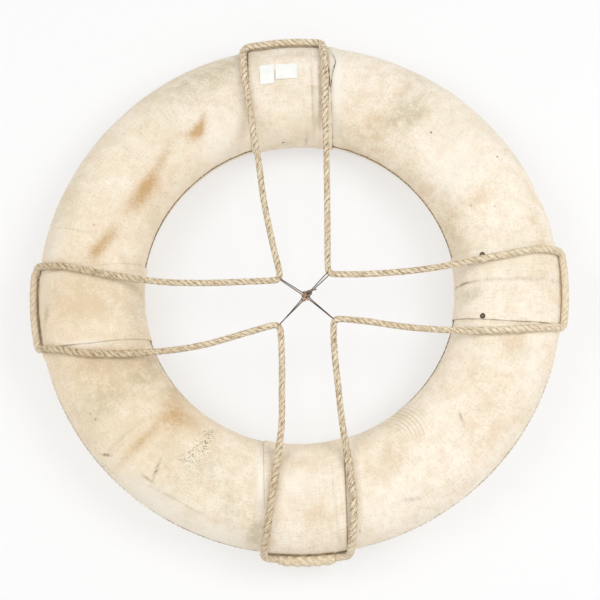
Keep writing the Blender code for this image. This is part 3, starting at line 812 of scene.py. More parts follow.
@dataclass(frozen=True)
class CanvasFinish(Finish):
    """Old cotton canvas: its weave, clouds of dirt, marks and the dark lines of dirt and painted shade at the bands'
    edges.

    Attributes:
        clean: Colour of the cleanest cloth.
        aged: Colour of the yellowed cloth, laid on more towards the left, where it is painted shade as well.
        dull: Colour of the greyed cloth.
        thread: Distance from one thread to the next.
        spots: Small rusty dots in plan, in millimetres, and their strength.
    """

    clean: Colour = srgb(254, 243, 225)
    aged: Colour = srgb(245, 227, 199)
    dull: Colour = srgb(243, 236, 221)
    thread: float = 0.0011
    spots: tuple[Triple, ...] = ()

    def material(self) -> Material:
        """Make the material.

        Returns:
            The material.
        """
        graph, place = self.start()
        cloth = graph.stored("cloth", vector=True)
        broad = graph.cloud(place, 6.0, 2.0)
        blotch = graph.cloud(place, 15.0, 5.0, 0.58)
        blush = graph.cloud(place, 36.0, 4.0, 0.6)
        mottle = graph.cloud(place, 60.0, 6.0, 0.72)
        grain = graph.cloud(place, 340.0, 4.0, 0.75)
        warp, weft = (
            graph.cloud(graph.stretch(cloth, stretch), 1.0, 3.0, 0.65)
            for stretch in ((420.0, 45.0, 1.0), (45.0, 420.0, 1.0)))
        soil_and_shade = {kind: graph.stored(kind.value) for kind in SoilAndShade}

        # Painted shade: towards the left, away from the light, the cloth is laid darker and yellower, along with its
        # yellowing.
        left_yellowing_and_shade = graph.along(place, (-1.0, -0.1, 0.0)) * 1.7
        topness = graph.along(place, (-0.35, 1.0, 0.0)) * 1.6
        colour = graph.paint(
            self.clean,
            ((left_yellowing_and_shade + broad * 0.9 + blotch * 0.6 - 0.50).rise(0.0, 0.95), self.aged),
            ((topness + blotch * 0.5 - 0.2).rise(0.0, 0.8) * 0.5, self.dull),
            (blush.rise(0.50, 0.66) * 0.45, srgb(247, 223, 200)),
            (mottle.rise(0.46, 0.64) * 0.26, srgb(229, 211, 180)),
            (mottle.rise(0.46, 0.32) * 0.32, srgb(254, 248, 236)),
            (blotch.rise(0.46, 0.66) * 0.30, srgb(226, 213, 184)),
            (blotch.rise(0.44, 0.30) * 0.40, srgb(254, 246, 230)),
            (grain.rise(0.48, 0.66) * 0.30, srgb(208, 188, 154)),
            ((warp * weft).rise(0.24, 0.38) * 0.34, srgb(210, 192, 160)),
            ((soil_and_shade[SoilAndShade.PALE] * (0.4 + mottle)).at_most(0.9), srgb(250, 244, 232)))

        patches = mottle.rise(0.38, 0.62)
        frayed = (
            0.28 + patches * 0.5 + grain.rise(0.38, 0.64) * 0.45 + blush.rise(0.35, 0.65) * 0.4)
        brown = soil_and_shade[SoilAndShade.BROWN] * (0.20 + frayed * 0.35 + grain * 0.7)
        dots = graph.cloud(place, 430.0, 1.0, 0.5).rise(0.55, 0.63)
        specks = (soil_and_shade[SoilAndShade.SPECKS] * (0.45 + patches)).rise(0.10, 0.80)
        colour = graph.paint(
            colour,
            # The grey marks and the dark lines are dirt, and in places painted shade.
            ((soil_and_shade[SoilAndShade.TAN] * frayed).at_most(1.0) * 0.52, srgb(216, 189, 149)),
            ((soil_and_shade[SoilAndShade.GREY] * frayed).at_most(1.2) * 0.52, srgb(192, 178, 146)),
            ((brown * 0.66).at_most(0.85), srgb(198, 158, 101)),
            ((soil_and_shade[SoilAndShade.LINE] * (0.5 + patches * 0.7)).at_most(1.0) * 0.75, srgb(150, 126, 96)),
            (dots * specks * 0.70, srgb(124, 114, 90)),
            (grain.rise(0.64, 0.76) * 0.30, srgb(160, 142, 110)))

        spots = [
            (graph.away(place, x, y).rise(0.0026, 0.0008) * strength, srgb(150, 98, 66))
            for x, y, strength in self.spots]
        rings = (graph.away(place, *RIPPLE_CENTRE) * 1120.0).sine() * soil_and_shade[SoilAndShade.RIPPLE]
        # Painted shade: dark lines and a soft darkening beside the bands' edges, round the loose corner and in its
        # slit, and beside the grab line's run along the rim, laid together with dirt.
        off = abs(graph.stored("edge_off"))
        shade_and_grime = graph.stored("edge_shade_and_grime")
        line = off.rise(0.0013, 0.0002) * shade_and_grime * (0.10 + patches * 1.2)
        colour = graph.paint(
            colour,
            *spots,
            (rings.rise(0.1, 1.2) * 0.55, srgb(200, 186, 152)),
            (off.rise(0.0055, 0.0) * shade_and_grime * mottle * 0.7, srgb(200, 182, 148)),
            (line.at_most(1.0), srgb(98, 82, 62)))

        threads = math.pi / self.thread
        weave = (
            graph.along(cloth, (threads, 0.0, 0.0)).sine()
            * graph.along(cloth, (0.0, threads, 0.0)).sine())
        normal = graph.bump(weave * 0.16 + grain * 0.6 + mottle * 0.9, 0.0008, 0.6)
        return graph.finish(colour, 0.80 + grain * 0.12, normal, sheen=0.10)


@dataclass(frozen=True)
class HempFinish(Finish):
    """Laid rope of old hemp, pale on the strands' crowns and brown between them, with painted shade in the grooves and
    on the strands' undersides and painted highlights on the crowns.

    Attributes:
        crown: Colour on top of a strand.
        groove: Colour between the strands, where it is painted shade, and of the dark yarns.
        pale: Colour of the painted highlights on the yarns over the strands' crowns.
    """

    crown: Colour = srgb(233, 213, 179)
    groove: Colour = srgb(144, 118, 86)
    pale: Colour = srgb(250, 240, 220)

    def material(self) -> Material:
        """Make the material.

        Returns:
            The material.
        """
        graph, place = self.start()
        laid = graph.stored("laid", vector=True)
        spun = graph.stored("spun", vector=True)
        crown = graph.stored("crown")
        yarn = graph.cloud(graph.stretch(laid, (640.0, 640.0, 150.0)), 1.0, 2.0, 0.6)
        fibre = graph.cloud(graph.stretch(spun, (1500.0, 1500.0, 120.0)), 1.0, 2.0, 0.6)
        wear = graph.cloud(place, 14.0, 3.0)
        # Painted light and shade: the crowns, most of all on their upper sides, take the crown colour, while the
        # grooves and undersides keep the groove colour.
        lit = (crown * 0.9 + yarn.rise(0.36, 0.62) * 0.75 - 0.52).rise(0.0, 0.75)
        # Darker and browner towards the lower left.
        towards_lower_left = graph.along(place, (-0.8, -0.6, 0.0)).rise(0.10, 0.26)
        # Paler where the rope runs along the rim, and painted light on its right side, where the light comes from.
        on_rim = graph.along(place, (0.0, 0.0, -1.0), -0.098).rise(0.0, 0.02)
        lit_on_right = graph.along(place, (1.0, 0.0, 0.0)).rise(0.14, 0.38)
        colour = graph.paint(
            self.groove,
            (lit, self.crown),
            # Painted highlights on the yarns over the crowns.
            ((yarn.rise(0.48, 0.62) * crown).rise(0.1, 0.9) * 0.85, self.pale),
            (yarn.rise(0.45, 0.36) * 0.45, self.groove),
            (wear.rise(0.45, 0.75) * 0.25, srgb(206, 182, 146)),
            (towards_lower_left * 0.30, srgb(182, 152, 106)),
            (on_rim * 0.38, srgb(250, 236, 212)),
            (lit_on_right * 0.32, srgb(252, 237, 208)),
            (fibre.rise(0.58, 0.74) * 0.30, srgb(142, 118, 88)))
        normal = graph.bump(yarn * 0.9 + fibre * 0.5, 0.0008, 0.8)
        return graph.finish(colour, 0.78 + fibre * 0.15, normal, sheen=0.12)


@dataclass(frozen=True)
class RustFinish(Finish):
    """Soft iron wire under old rust.

    Attributes:
        iron: Colour of the tarnished iron.
        rust: Colour of the rust on it.
        about: Place round which the rust is uneven.
        lean: Direction in which there is more of it, as a growth to a metre.
    """

    iron: Colour
    rust: Colour
    about: Triple = (0.0, 0.0, 0.0)
    lean: Triple = (0.0, 0.0, 0.0)

    def material(self) -> Material:
        """Make the material.

        Returns:
            The material.
        """
        graph, place = self.start()
        uneven = graph.along(place, self.lean, Vector(self.about).dot(self.lean))
        scale = graph.cloud(place, 240.0, 4.0, 0.65) + uneven
        pit = graph.cloud(place, 1500.0, 3.0, 0.6)
        colour = graph.paint(
            self.iron,
            (scale.rise(0.35, 0.65), self.rust),
            (pit.rise(0.55, 0.72) * 0.5, srgb(66, 52, 46)))
        return graph.finish(
            colour, 0.52 + pit * 0.35, graph.bump(pit + scale * 0.6, 0.0003, 0.8),
            0.55 - scale.rise(0.4, 0.7) * 0.45)


@dataclass(frozen=True)
class TackFinish(Finish):
    """Tarnished tack, dark round its edge and rubbed on its crown.

    Attributes:
        edge: Colour round the head's edge.
        worn: Colour on its crown.
    """

    name: str = "tarnished_tack"
    edge: Colour = srgb(60, 50, 40)
    worn: Colour = srgb(150, 138, 108)

    def material(self) -> Material:
        """Make the material.

        Returns:
            The material.
        """
        graph, place = self.start()
        tarnish = graph.cloud(place, 700.0, 4.0, 0.65)
        crown = graph.stored("crown")
        colour = graph.paint(
            self.edge,
            (tarnish * 0.4, self.worn),
            (crown.rise(0.45, 0.95) * (0.35 + tarnish * 0.6), self.worn))
        return graph.finish(
            colour, 0.70 - crown * 0.25, graph.bump(tarnish, 0.0003, 0.7), 0.35 + crown * 0.3)


@dataclass(frozen=True)
class PaperFinish(Finish):
    """Blank paper label, a little grubby."""

    name: str = "label_paper"

    def material(self) -> Material:
        """Make the material.

        Returns:
            The material.
        """
        graph, place = self.start()
        grub = graph.cloud(place, 60.0, 4.0, 0.6)
        pulp = graph.cloud(place, 1600.0, 3.0, 0.6)
        colour = graph.paint(
            srgb(248, 248, 244),
            (grub.rise(0.45, 0.85) * 0.5, srgb(226, 224, 214)),
            (pulp.rise(0.6, 0.8) * 0.12, srgb(190, 186, 172)))
        return graph.finish(colour, 0.55 + pulp * 0.2, graph.bump(pulp + grub, 0.0001, 0.6))


@dataclass(frozen=True)
class ThreadFinish(Finish):
    """Waxed sewing thread: pale stitches over a dirty cord in the seam.

    Attributes:
        cord: Colour of the cord in the seam.
        stitch: Colour of the stitches.
    """

    cord: Colour
    stitch: Colour = srgb(232, 216, 186)

    def material(self) -> Material:
        """Make the material.

        Returns:
            The material.
        """
        graph, place = self.start()
        ply = graph.cloud(place, 900.0, 3.0, 0.6)
        wear = graph.cloud(place, 40.0, 3.0, 0.6)
        colour = graph.paint(
            self.stitch,
            (graph.stored("core"), self.cord),
            (wear.rise(0.35, 0.7) * 0.35, srgb(168, 148, 114)),
            (ply.rise(0.5, 0.75) * 0.35, srgb(104, 88, 66)))
        return graph.finish(colour, 0.70 + ply * 0.2, graph.bump(ply, 0.0003, 0.8))


@dataclass(frozen=True)
class CorkFinish(Finish):
    """Natural cork with its growth bands and dark pores."""

    name: str = "cork"

    def material(self) -> Material:
        """Make the material.

        Returns:
            The material.
        """
        graph, place = self.start()
        growth = graph.cloud(graph.stretch(place, (1.0, 1.0, 6.0)), 40.0, 4.0, 0.6)
        pores = graph.cloud(graph.stretch(place, (3.0, 3.0, 1.0)), 110.0, 3.0, 0.6)
        colour = graph.paint(
            srgb(176, 128, 82),
            (growth.rise(0.3, 0.7), srgb(206, 162, 112)),
            (pores.rise(0.60, 0.70) * 0.85, srgb(92, 60, 38)))
        return graph.finish(colour, 0.80 + growth * 0.15, graph.bump(1 - pores, 0.0015, 0.7))


@dataclass(frozen=True)
class PegFinish(Finish):
    """Turned softwood with its grain along the peg."""

    name: str = "peg_wood"

    def material(self) -> Material:
        """Make the material.

        Returns:
            The material.
        """
        graph, place = self.start()
        grain = graph.cloud(graph.stretch(place, (1.0, 1.0, 0.06)), 500.0, 4.0, 0.6)
        colour = graph.paint(srgb(176, 136, 92), (grain.rise(0.35, 0.65), srgb(206, 172, 124)))
        return graph.finish(colour, 0.62 + grain * 0.2, graph.bump(grain, 0.0004, 0.7))


@dataclass(frozen=True)
class RopeLeg:
    """Offsets of the grab line on one side of a band, from the rim to its free span.

    Attributes:
        rim: Offset on the rim.
        low_shoulder: Offset at a turn of 45 on the rim's side.
        high_shoulder: Offset at a turn of 70.
        outer_edge: Offset at the outer edge of the face's flat.
        inner_edge: Offset at the inner edge of the flat.
        bows: How far the free span is bowed sideways at three places on it.
    """

    rim: float
    low_shoulder: float
    high_shoulder: float
    outer_edge: float
    inner_edge: float
    bows: Triple


@dataclass(frozen=True)
class Hem:
    """One long edge of a band, at the rim, on the face and in the hole.

    Attributes:
        stray: How far the edge strays outwards.
        shade_and_grime: Strength of the dark line beside it, dirt and painted shade.
    """

    stray: Triple
    shade_and_grime: Triple


# Height of the ridge beside the grab line's run along the rim, its distance and its half width.
RIDGE = (0.0014, 0.008, 0.0055)


@dataclass(frozen=True)
class BandPlace:
    """Where a canvas band lies, and the grab line's two legs on it.

    Attributes:
        name: Its name.
        axis: Direction from which the grab line's offsets are measured.
        skew: How far the band's own middle is turned from there.
        width: Its width.
        rim_turn: Turn at which the grab line runs along the rim.
        arriving: The leg on the side of smaller offsets.
        leaving: The leg on the side of larger offsets.
        hems: Its edges on the same two sides.
        rope_grime_and_shade: Strength of the dark line beside the grab line's run along the rim: dirt, and the painted
            shadow that the rope casts there.
    """

    name: str
    axis: float
    skew: float
    width: float
    rim_turn: float
    arriving: RopeLeg
    leaving: RopeLeg
    hems: tuple[Hem, Hem]
    rope_grime_and_shade: float

    @property
    def own_axis(self) -> float:
        """Direction of the band's own middle, seen from above."""
        return self.axis + self.skew

    def edge(self, side: int, lengths: Array) -> Array:
        """Distance of one edge from the band's middle at arc lengths round the section."""
        return self.width / 2 + RING.over_front(lengths, self.hems[side > 0].stray)

    @property
    def rim_run(self) -> float:
        """Arc length at which the grab line runs along the rim."""
        turns, arcs = RING.quarter_lengths()
        return RING.perimeter / 2 - float(np.interp(self.rim_turn, turns, arcs))

    def pushed(self, lengths: Array) -> Array:
        """Ridge of cloth that the grab line pushes up beyond its run along the rim."""
        height, beyond, width = RIDGE
        return height * np.exp(-(((lengths - self.rim_run - beyond) / width) ** 2))


BANDS = (
    BandPlace(
        "left", 180.0, 6.2, 0.114, 20.0,
        RopeLeg(-0.0920, -0.0955, -0.1003, -0.1046, -0.1064, (-0.0100, -0.0110, -0.0048)),
        RopeLeg(0.0300, 0.0275, 0.0236, 0.0198, 0.0112, (-0.0092, -0.0090, -0.0047)),
        (
            Hem((-0.0060, 0.0, -0.0055), (1.00, 0.22, 0.12)),
            Hem((0.0, -0.0015, 0.0010), (0.15, 0.20, 0.40)),
        ), 2.4),
    BandPlace(
        "top", 90.0, 2.6, 0.121, 34.0,
        RopeLeg(-0.0845, -0.0835, -0.0818, -0.0800, -0.0744, (-0.0008, -0.0038, -0.0025)),
        RopeLeg(0.0345, 0.0350, 0.0378, 0.0388, 0.0381, (0.0012, 0.0011, 0.0004)),
        (
            Hem((0.0, 0.0, 0.0), (1.00, 0.30, 0.10)),
            Hem((0.0, 0.0, -0.0010), (0.20, 0.40, 0.35)),
        ), 1.5),
    BandPlace(
        "right", 0.0, -1.2, 0.107, 25.0,
        RopeLeg(-0.0475, -0.0466, -0.0448, -0.0411, -0.0336, (0.0070, 0.0083, 0.0056)),
        RopeLeg(0.0640, 0.0667, 0.0706, 0.0725, 0.0750, (0.0047, 0.0042, 0.0005)),
        (
            Hem((0.0, 0.0, -0.0030), (0.05, 0.05, 0.20)),
            Hem((-0.0035, 0.0, -0.0125), (0.40, 0.40, 0.30)),
        ), 0.5),
    BandPlace(
        "bottom", -90.0, 1.7, 0.1115, 5.0,
        RopeLeg(-0.0705, -0.0730, -0.0756, -0.0754, -0.0712, (0.0036, 0.0038, 0.0034)),
        RopeLeg(0.0500, 0.0457, 0.0418, 0.0384, 0.0325, (-0.0068, -0.0059, -0.0040)),
        (
            Hem((0.0, 0.0, 0.0), (0.60, 0.40, 0.60)),
            Hem((0.0, 0.0, 0.0), (0.35, 0.12, 0.25)),
        ), 2.6),
)

CREASES = {
    "left": (
        Crease(((-365, -37), (-364, -49), (-366, -65)), 3.0, -1.2),
        Crease(((-341, -11), (-337, -41)), 4.0, -0.7),
        Crease(((-345, -10), (-230, -14)), 6.0, 0.4)),
    "top": (
        Crease(((16, 345), (18, 324), (21, 292), (23, 262)), 3.2, -1.6),
        Crease(((26, 340), (29, 292), (30, 255)), 4.5, 1.3),
        Crease(((15, 249), (12, 228), (8, 226)), 3.0, -1.6),
        Crease(((24, 250), (22, 232)), 5.0, 1.2),
        Crease(((-40, 262), (-10, 258)), 7.0, 0.5)),
    "right": (
        Crease(((229, 0), (236, 2), (245, 1), (268, 3)), 2.2, -1.3),
        Crease(((229, -5), (240, -4), (262, -2)), 3.5, 0.9),
        Crease(((240, 12), (300, 20), (345, 18)), 6.0, 0.5)),
    "bottom": (
        Crease(((58, -270), (54, -330), (50, -388)), 3.0, 0.9),
        Crease(((30, -320), (26, -355)), 8.0, -0.6)),
}

KINKS = {
    ("bottom", "left"): (-0.0263, -0.0625),
    ("left", "top"): (-0.0251, 0.0014),
    ("top", "right"): (0.0420, 0.0099),
    ("right", "bottom"): (0.0494, -0.0555),
}


def ring_in_frame() -> RingShape:
    """The ring's shape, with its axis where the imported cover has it."""
    low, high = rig.box("cover_front")
    return RingShape(centre=((low[0] + high[0]) / 2, (low[1] + high[1]) / 2))


RING = ring_in_frame()


def store_marks(points: Array) -> dict[str, Array]:
    """Strengths of all marks at a grid of points, for each kind.

    Args:
        points: Grid of points; those on the back of the ring get none.

    Returns:
        One row of values for each kind of mark, by its name.
    """
    plan = RING.plan(points)
    front = np.clip((points.reshape(-1, 3)[:, 2] - RING.middle_height) / 0.02 + 0.5, 0.0, 1.0)
    stored = {kind.value: np.zeros(len(plan)) for kind in SoilAndShade}
    for mark in MARKS:
        stored[mark.kind.value] += mark.shade(plan) * front
    return stored


def store_edges(points: Array, lengths: Array) -> dict[str, Array]:
    """Distance beyond the nearest edge of a band, and how dark the cloth is there with dirt and painted shade.

    Args:
        points: Grid of points on the cover.
        lengths: Their arc lengths.

    Returns:
        One row of values for the distance and one for the dirt and painted shade.
    """
    plan = RING.plan(points)
    lengths = lengths.ravel()
    off = np.full(len(plan), 0.05)
    shade_and_grime = np.zeros(len(plan))
    for band in BANDS:
        way = np.array(RING.clockwise(band.own_axis))[:2]
        outward = plan @ np.array((-way[1], way[0]))
        for side in (-1, 1):
            beyond = side * (plan @ way) - band.edge(side, lengths)
            nearer = (outward > 0.1) & (np.abs(beyond) < np.abs(off))
            off = np.where(nearer, beyond, off)
            shade_and_grime = np.where(nearer, RING.over_front(lengths, band.hems[side > 0].shade_and_grime), shade_and_grime)
    return {"edge_off": off, "edge_shade_and_grime": shade_and_grime}


@dataclass
class Cover:
    """The canvas cover: two halves drawn over the cork, turned in where they are sewn together.

    Attributes:
        around: Points round the ring.
        across: Evenly spaced points from the hole to the rim.
        evenly_from: Arc length from the seam to the first of them.
        seam_rows: Arc lengths from the seam to the points nearer to it.
        waves: Layers of its waves.
        held: Distance from a band over which they grow, and their share under it.
        turned_in: Depth of its turned-in edges, in the hole and on the rim.
        turn: Arc length over which they are turned in.
        dip: Depth and arc length of the dip along the seam.
        pucker: Height, spacing and arc length of the puckers along the seam.
        beside: Angle from a band's middle within which the grab line pushes up the cover.
        ridge: How much more it does so than on the band, and where that starts and fades out.
    """

    around: int = 760
    across: int = 96
    evenly_from: float = 0.0045
    seam_rows: tuple[float, ...] = (0.0004, 0.0006, 0.0010, 0.0018, 0.0030)
    waves: tuple[Triple, ...] = (
        (0.0010, 0.13, 0.0), (0.00045, 0.045, 7.0), (0.00015, 0.014, 3.0))
    held: Pair = (0.02, 0.12)
    turned_in: Pair = (0.0016, 0.0026)
    turn: float = 0.0011
    dip: Pair = (0.0006, 0.007)
    pucker: Triple = (0.00035, 0.0042, 0.008)
    beside: float = 30.0
    ridge: Triple = (2.2, 0.004, 0.012)

    def half(self, name: str, face: int, material: Material) -> None:
        """Make one half of the cover.

        Args:
            name: The CAD node that it stands for.
            face: 1 for the front and -1 for the back.
            material: Its canvas.
        """
        half_round = RING.perimeter / 2
        evenly_spaced = np.linspace(0.0, 1.0, self.across) * (half_round - 2 * self.evenly_from)
        rows = np.array(self.seam_rows)
        lengths = np.concatenate([
            rows, self.evenly_from + evenly_spaced, half_round - rows[::-1]])
        depth = np.minimum(lengths, half_round - lengths)
        fold = np.where(lengths < half_round / 2, *self.turned_in)
        turned_in = fold * np.exp(-((depth / self.turn) ** 2))
        dip = self.dip[0] * np.exp(-((depth / self.dip[1]) ** 2))
        grid_s, grid_a = np.meshgrid(
            lengths * face, np.linspace(0.0, 360.0, self.around, endpoint=False))
        flat = np.zeros_like(grid_s)
        radius, height = RING.around(grid_s, flat)
        at_rest = RING.spread(grid_a, 0.0, radius, height)
        edges = store_edges(at_rest, grid_s)
        off = edges["edge_off"].reshape(grid_s.shape)
        waves = uneven(at_rest, *self.waves).reshape(off.shape) * np.clip(
            off / self.held[0], self.held[1], 1.0)
        rise, spacing, reach = self.pucker
        pucker = rise * np.sin(np.radians(grid_a) * radius / spacing) * np.exp(-depth / reach)
        lifts = waves + pucker - turned_in - dip + self._pushed(grid_s, off, grid_a)
        points = RING.spread(grid_a, 0.0, *RING.around(grid_s, lifts))
        cloth = np.stack([np.radians(grid_a) * RING.middle, grid_s, flat], axis=-1)
        piece = Patch(
            name + "_cloth", points, closed_rows=True, flip=face > 0,
            values={"cloth": cloth.reshape(-1, 3), **store_marks(points), **edges},
        ).build(material, name)
        side = "front" if face > 0 else "back"
        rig.sheet(
            piece, flat=(half_round, math.tau * RING.middle), held="stretched",
            rests_on=[f"cork_{side}_block_{index}" for index in range(1, 7)])

    def _pushed(self, lengths: Array, off: Array, angles: Array) -> Array:
        """Ridges of cloth that the grab line pushes up just beside the bands.

        Args:
            lengths: Arc lengths.
            off: Distances from the nearest band.
            angles: Directions from the ring's axis.

        Returns:
            A height for each point.
        """
        more, start, reach = self.ridge
        ridge = np.zeros_like(lengths)
        for band in BANDS:
            near = np.abs((angles - band.own_axis + 180.0) % 360.0 - 180.0) < self.beside
            beside = np.clip(1.5 - off / reach, 0.0, 1.0) * np.clip(off / start, 0.6, 1.0)
            ridge += np.where(near, more * band.pushed(lengths) * beside, 0.0)
        return ridge


@dataclass
class CanvasBand:
    """A canvas band wrapped right round the section, its end lapped over its start in the hole.

    Attributes:
        where: Where the band lies.
        creases: Folds on its front.
        flat_at: Middle of the place in plan where labels keep it flat.
        start: Arc length at which the cloth starts.
        lap: How far its end goes over its start.
        pitch: Distance between the mesh's points.
        rope_dark_line: Distance of the dark line of dirt and painted rope shadow from the grab line's run along the
            rim, and its fineness.
        floor_zone: Height under which the band lies flat on the floor.
        edge_rows: Distances from an edge to the points along it.
        edge_drops: How far each of them is rounded down.
        evenly_from: Distance from an edge to the first evenly spaced point.
        end_drop: Share of the rounding at its end.
        lap_rise: Height to which its end climbs over its start, and the arc length of the climb.
        hem: Height of the folded hem, its width and the width of its step.
        waves: Layers of its waves.
        label: Radius and depth of the flat under the labels.
        furrow: The deepest furrow.
    """

    where: BandPlace
    creases: tuple[Crease, ...] = ()
    flat_at: Pair | None = None
    start: float = -0.055
    lap: float = 0.032
    pitch: float = 0.0018
    rope_dark_line: Pair = (0.0046, 0.75)
    floor_zone: float = 0.02
    edge_rows: tuple[float, ...] = (0.0, 0.0001, 0.0004, 0.0010, 0.0020)
    edge_drops: tuple[float, ...] = (0.0019, 0.0010, 0.0004, 0.0001, 0.0)
    evenly_from: float = 0.004
    end_drop: float = 0.8
    lap_rise: Pair = (0.0017, 0.006)
    hem: Triple = (0.00035, 0.012, 0.002)
    waves: tuple[Triple, ...] = ((0.00050, 0.055, 11.0), (0.00022, 0.017, 5.0))
    label: Pair = (0.036, 0.0008)
    furrow: float = 0.0012

    def build(self, material: Material) -> Piece:
        """Make the band.

        Args:
            material: Its canvas.

        Returns:
            The band as a piece.
        """
        half = self.where.width / 2
        edge, edge_drops = np.array(self.edge_rows), np.array(self.edge_drops)
        reach = half - self.evenly_from
        columns = round(2 * reach / self.pitch)
        offsets = np.concatenate([
            edge - half, np.linspace(-reach, reach, columns), half - edge[::-1]])
        drops = np.concatenate([edge_drops, np.zeros(columns), edge_drops[::-1]])
        rows = round((RING.perimeter + self.lap) / self.pitch)
        finish = self.start + RING.perimeter + self.lap
        lengths = np.concatenate([
            np.linspace(self.start, finish - edge[-1], rows), finish - edge[-2::-1]])
        end_drops = np.concatenate([np.zeros(rows), edge_drops[-2::-1]]) * self.end_drop

        grid_w, grid_s = np.meshgrid(offsets, lengths)
        inside = (half - np.abs(grid_w)) * 2.5
        grid_w = grid_w / half * np.where(
            grid_w < 0, self.where.edge(-1, grid_s), self.where.edge(1, grid_s))
        lap_height, climb = self.lap_rise
        lapped = np.clip((lengths - (finish - self.lap)) / climb + 1, 0.0, 1.0)
        lapped = lap_height * lapped * lapped * (3 - 2 * lapped)
        hem_height, width, step = self.hem
        hem = hem_height * np.clip((np.abs(offsets) - half + width) / step, 0.0, 1.0)
        lifts = RING.band_lift + (lapped - end_drops + self.where.pushed(lengths))[:, None]
        lifts = lifts + (hem - drops)[None, :]
        radius, height = RING.around(grid_s, lifts)
        rest = RING.spread(self.where.own_axis, grid_w, radius, height)
        lifts = lifts + self._folds(rest).reshape(lifts.shape)
        on_floor = height < self.floor_zone
        lifts = np.where(on_floor, np.minimum(lifts, RING.band_lift), lifts)
        points = RING.spread(self.where.own_axis, grid_w, *RING.around(grid_s, lifts))
        cloth = np.stack([grid_w, grid_s, np.zeros_like(grid_w)], axis=-1)
        # Painted shade: the band is darkened along its edges, together with dirt.
        hems = [RING.over_front(grid_s, hem.shade_and_grime) for hem in self.where.hems]
        # Painted shadow of the grab line beside its run along the rim, with dirt.
        rope_grime_and_shade = np.abs(grid_s - self.where.rim_run + self.rope_dark_line[0]) * self.rope_dark_line[1]
        shade_and_grime = np.where(rope_grime_and_shade < inside, self.where.rope_grime_and_shade, np.where(grid_w < 0, *hems))
        values = {
            "cloth": cloth.reshape(-1, 3), **store_marks(points),
            "edge_off": np.minimum(inside, rope_grime_and_shade).ravel(), "edge_shade_and_grime": shade_and_grime.ravel()}
        name = "band_" + self.where.name
        return Patch(name + "_cloth", points, values=values).build(material, name)

    def declare(self, piece: Piece, with_pieces: list[Piece]) -> None:
        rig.sheet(
            piece, flat=(self.where.width, RING.perimeter + self.lap), held="stretched",
            rests_on=["cover_front_cloth", "cover_back_cloth"], with_pieces=with_pieces)

    def _folds(self, points: Array) -> Array:
        """Waves and creases on the band, none outwards where it lies on the floor.

        Args:
            points: Grid of points on it.

        Returns:
            A height for each point, in a flat row.
        """
        folds = uneven(points, *self.waves)
        plan = RING.plan(points)
        height = points.reshape(-1, 3)[:, 2]
        for crease in self.creases:
            folds += crease.raise_by(plan) * (height > RING.middle_height - 0.02)
        if self.flat_at:
            away = np.linalg.norm(plan - np.array(self.flat_at), axis=1)
            flat = np.exp(-((away / self.label[0]) ** 4)) * (height > RING.middle_height)
            folds = folds * (1 - flat) - self.label[1] * flat
        return np.where(
            height < self.floor_zone, np.minimum(folds, 0.0), np.maximum(folds, -self.furrow))


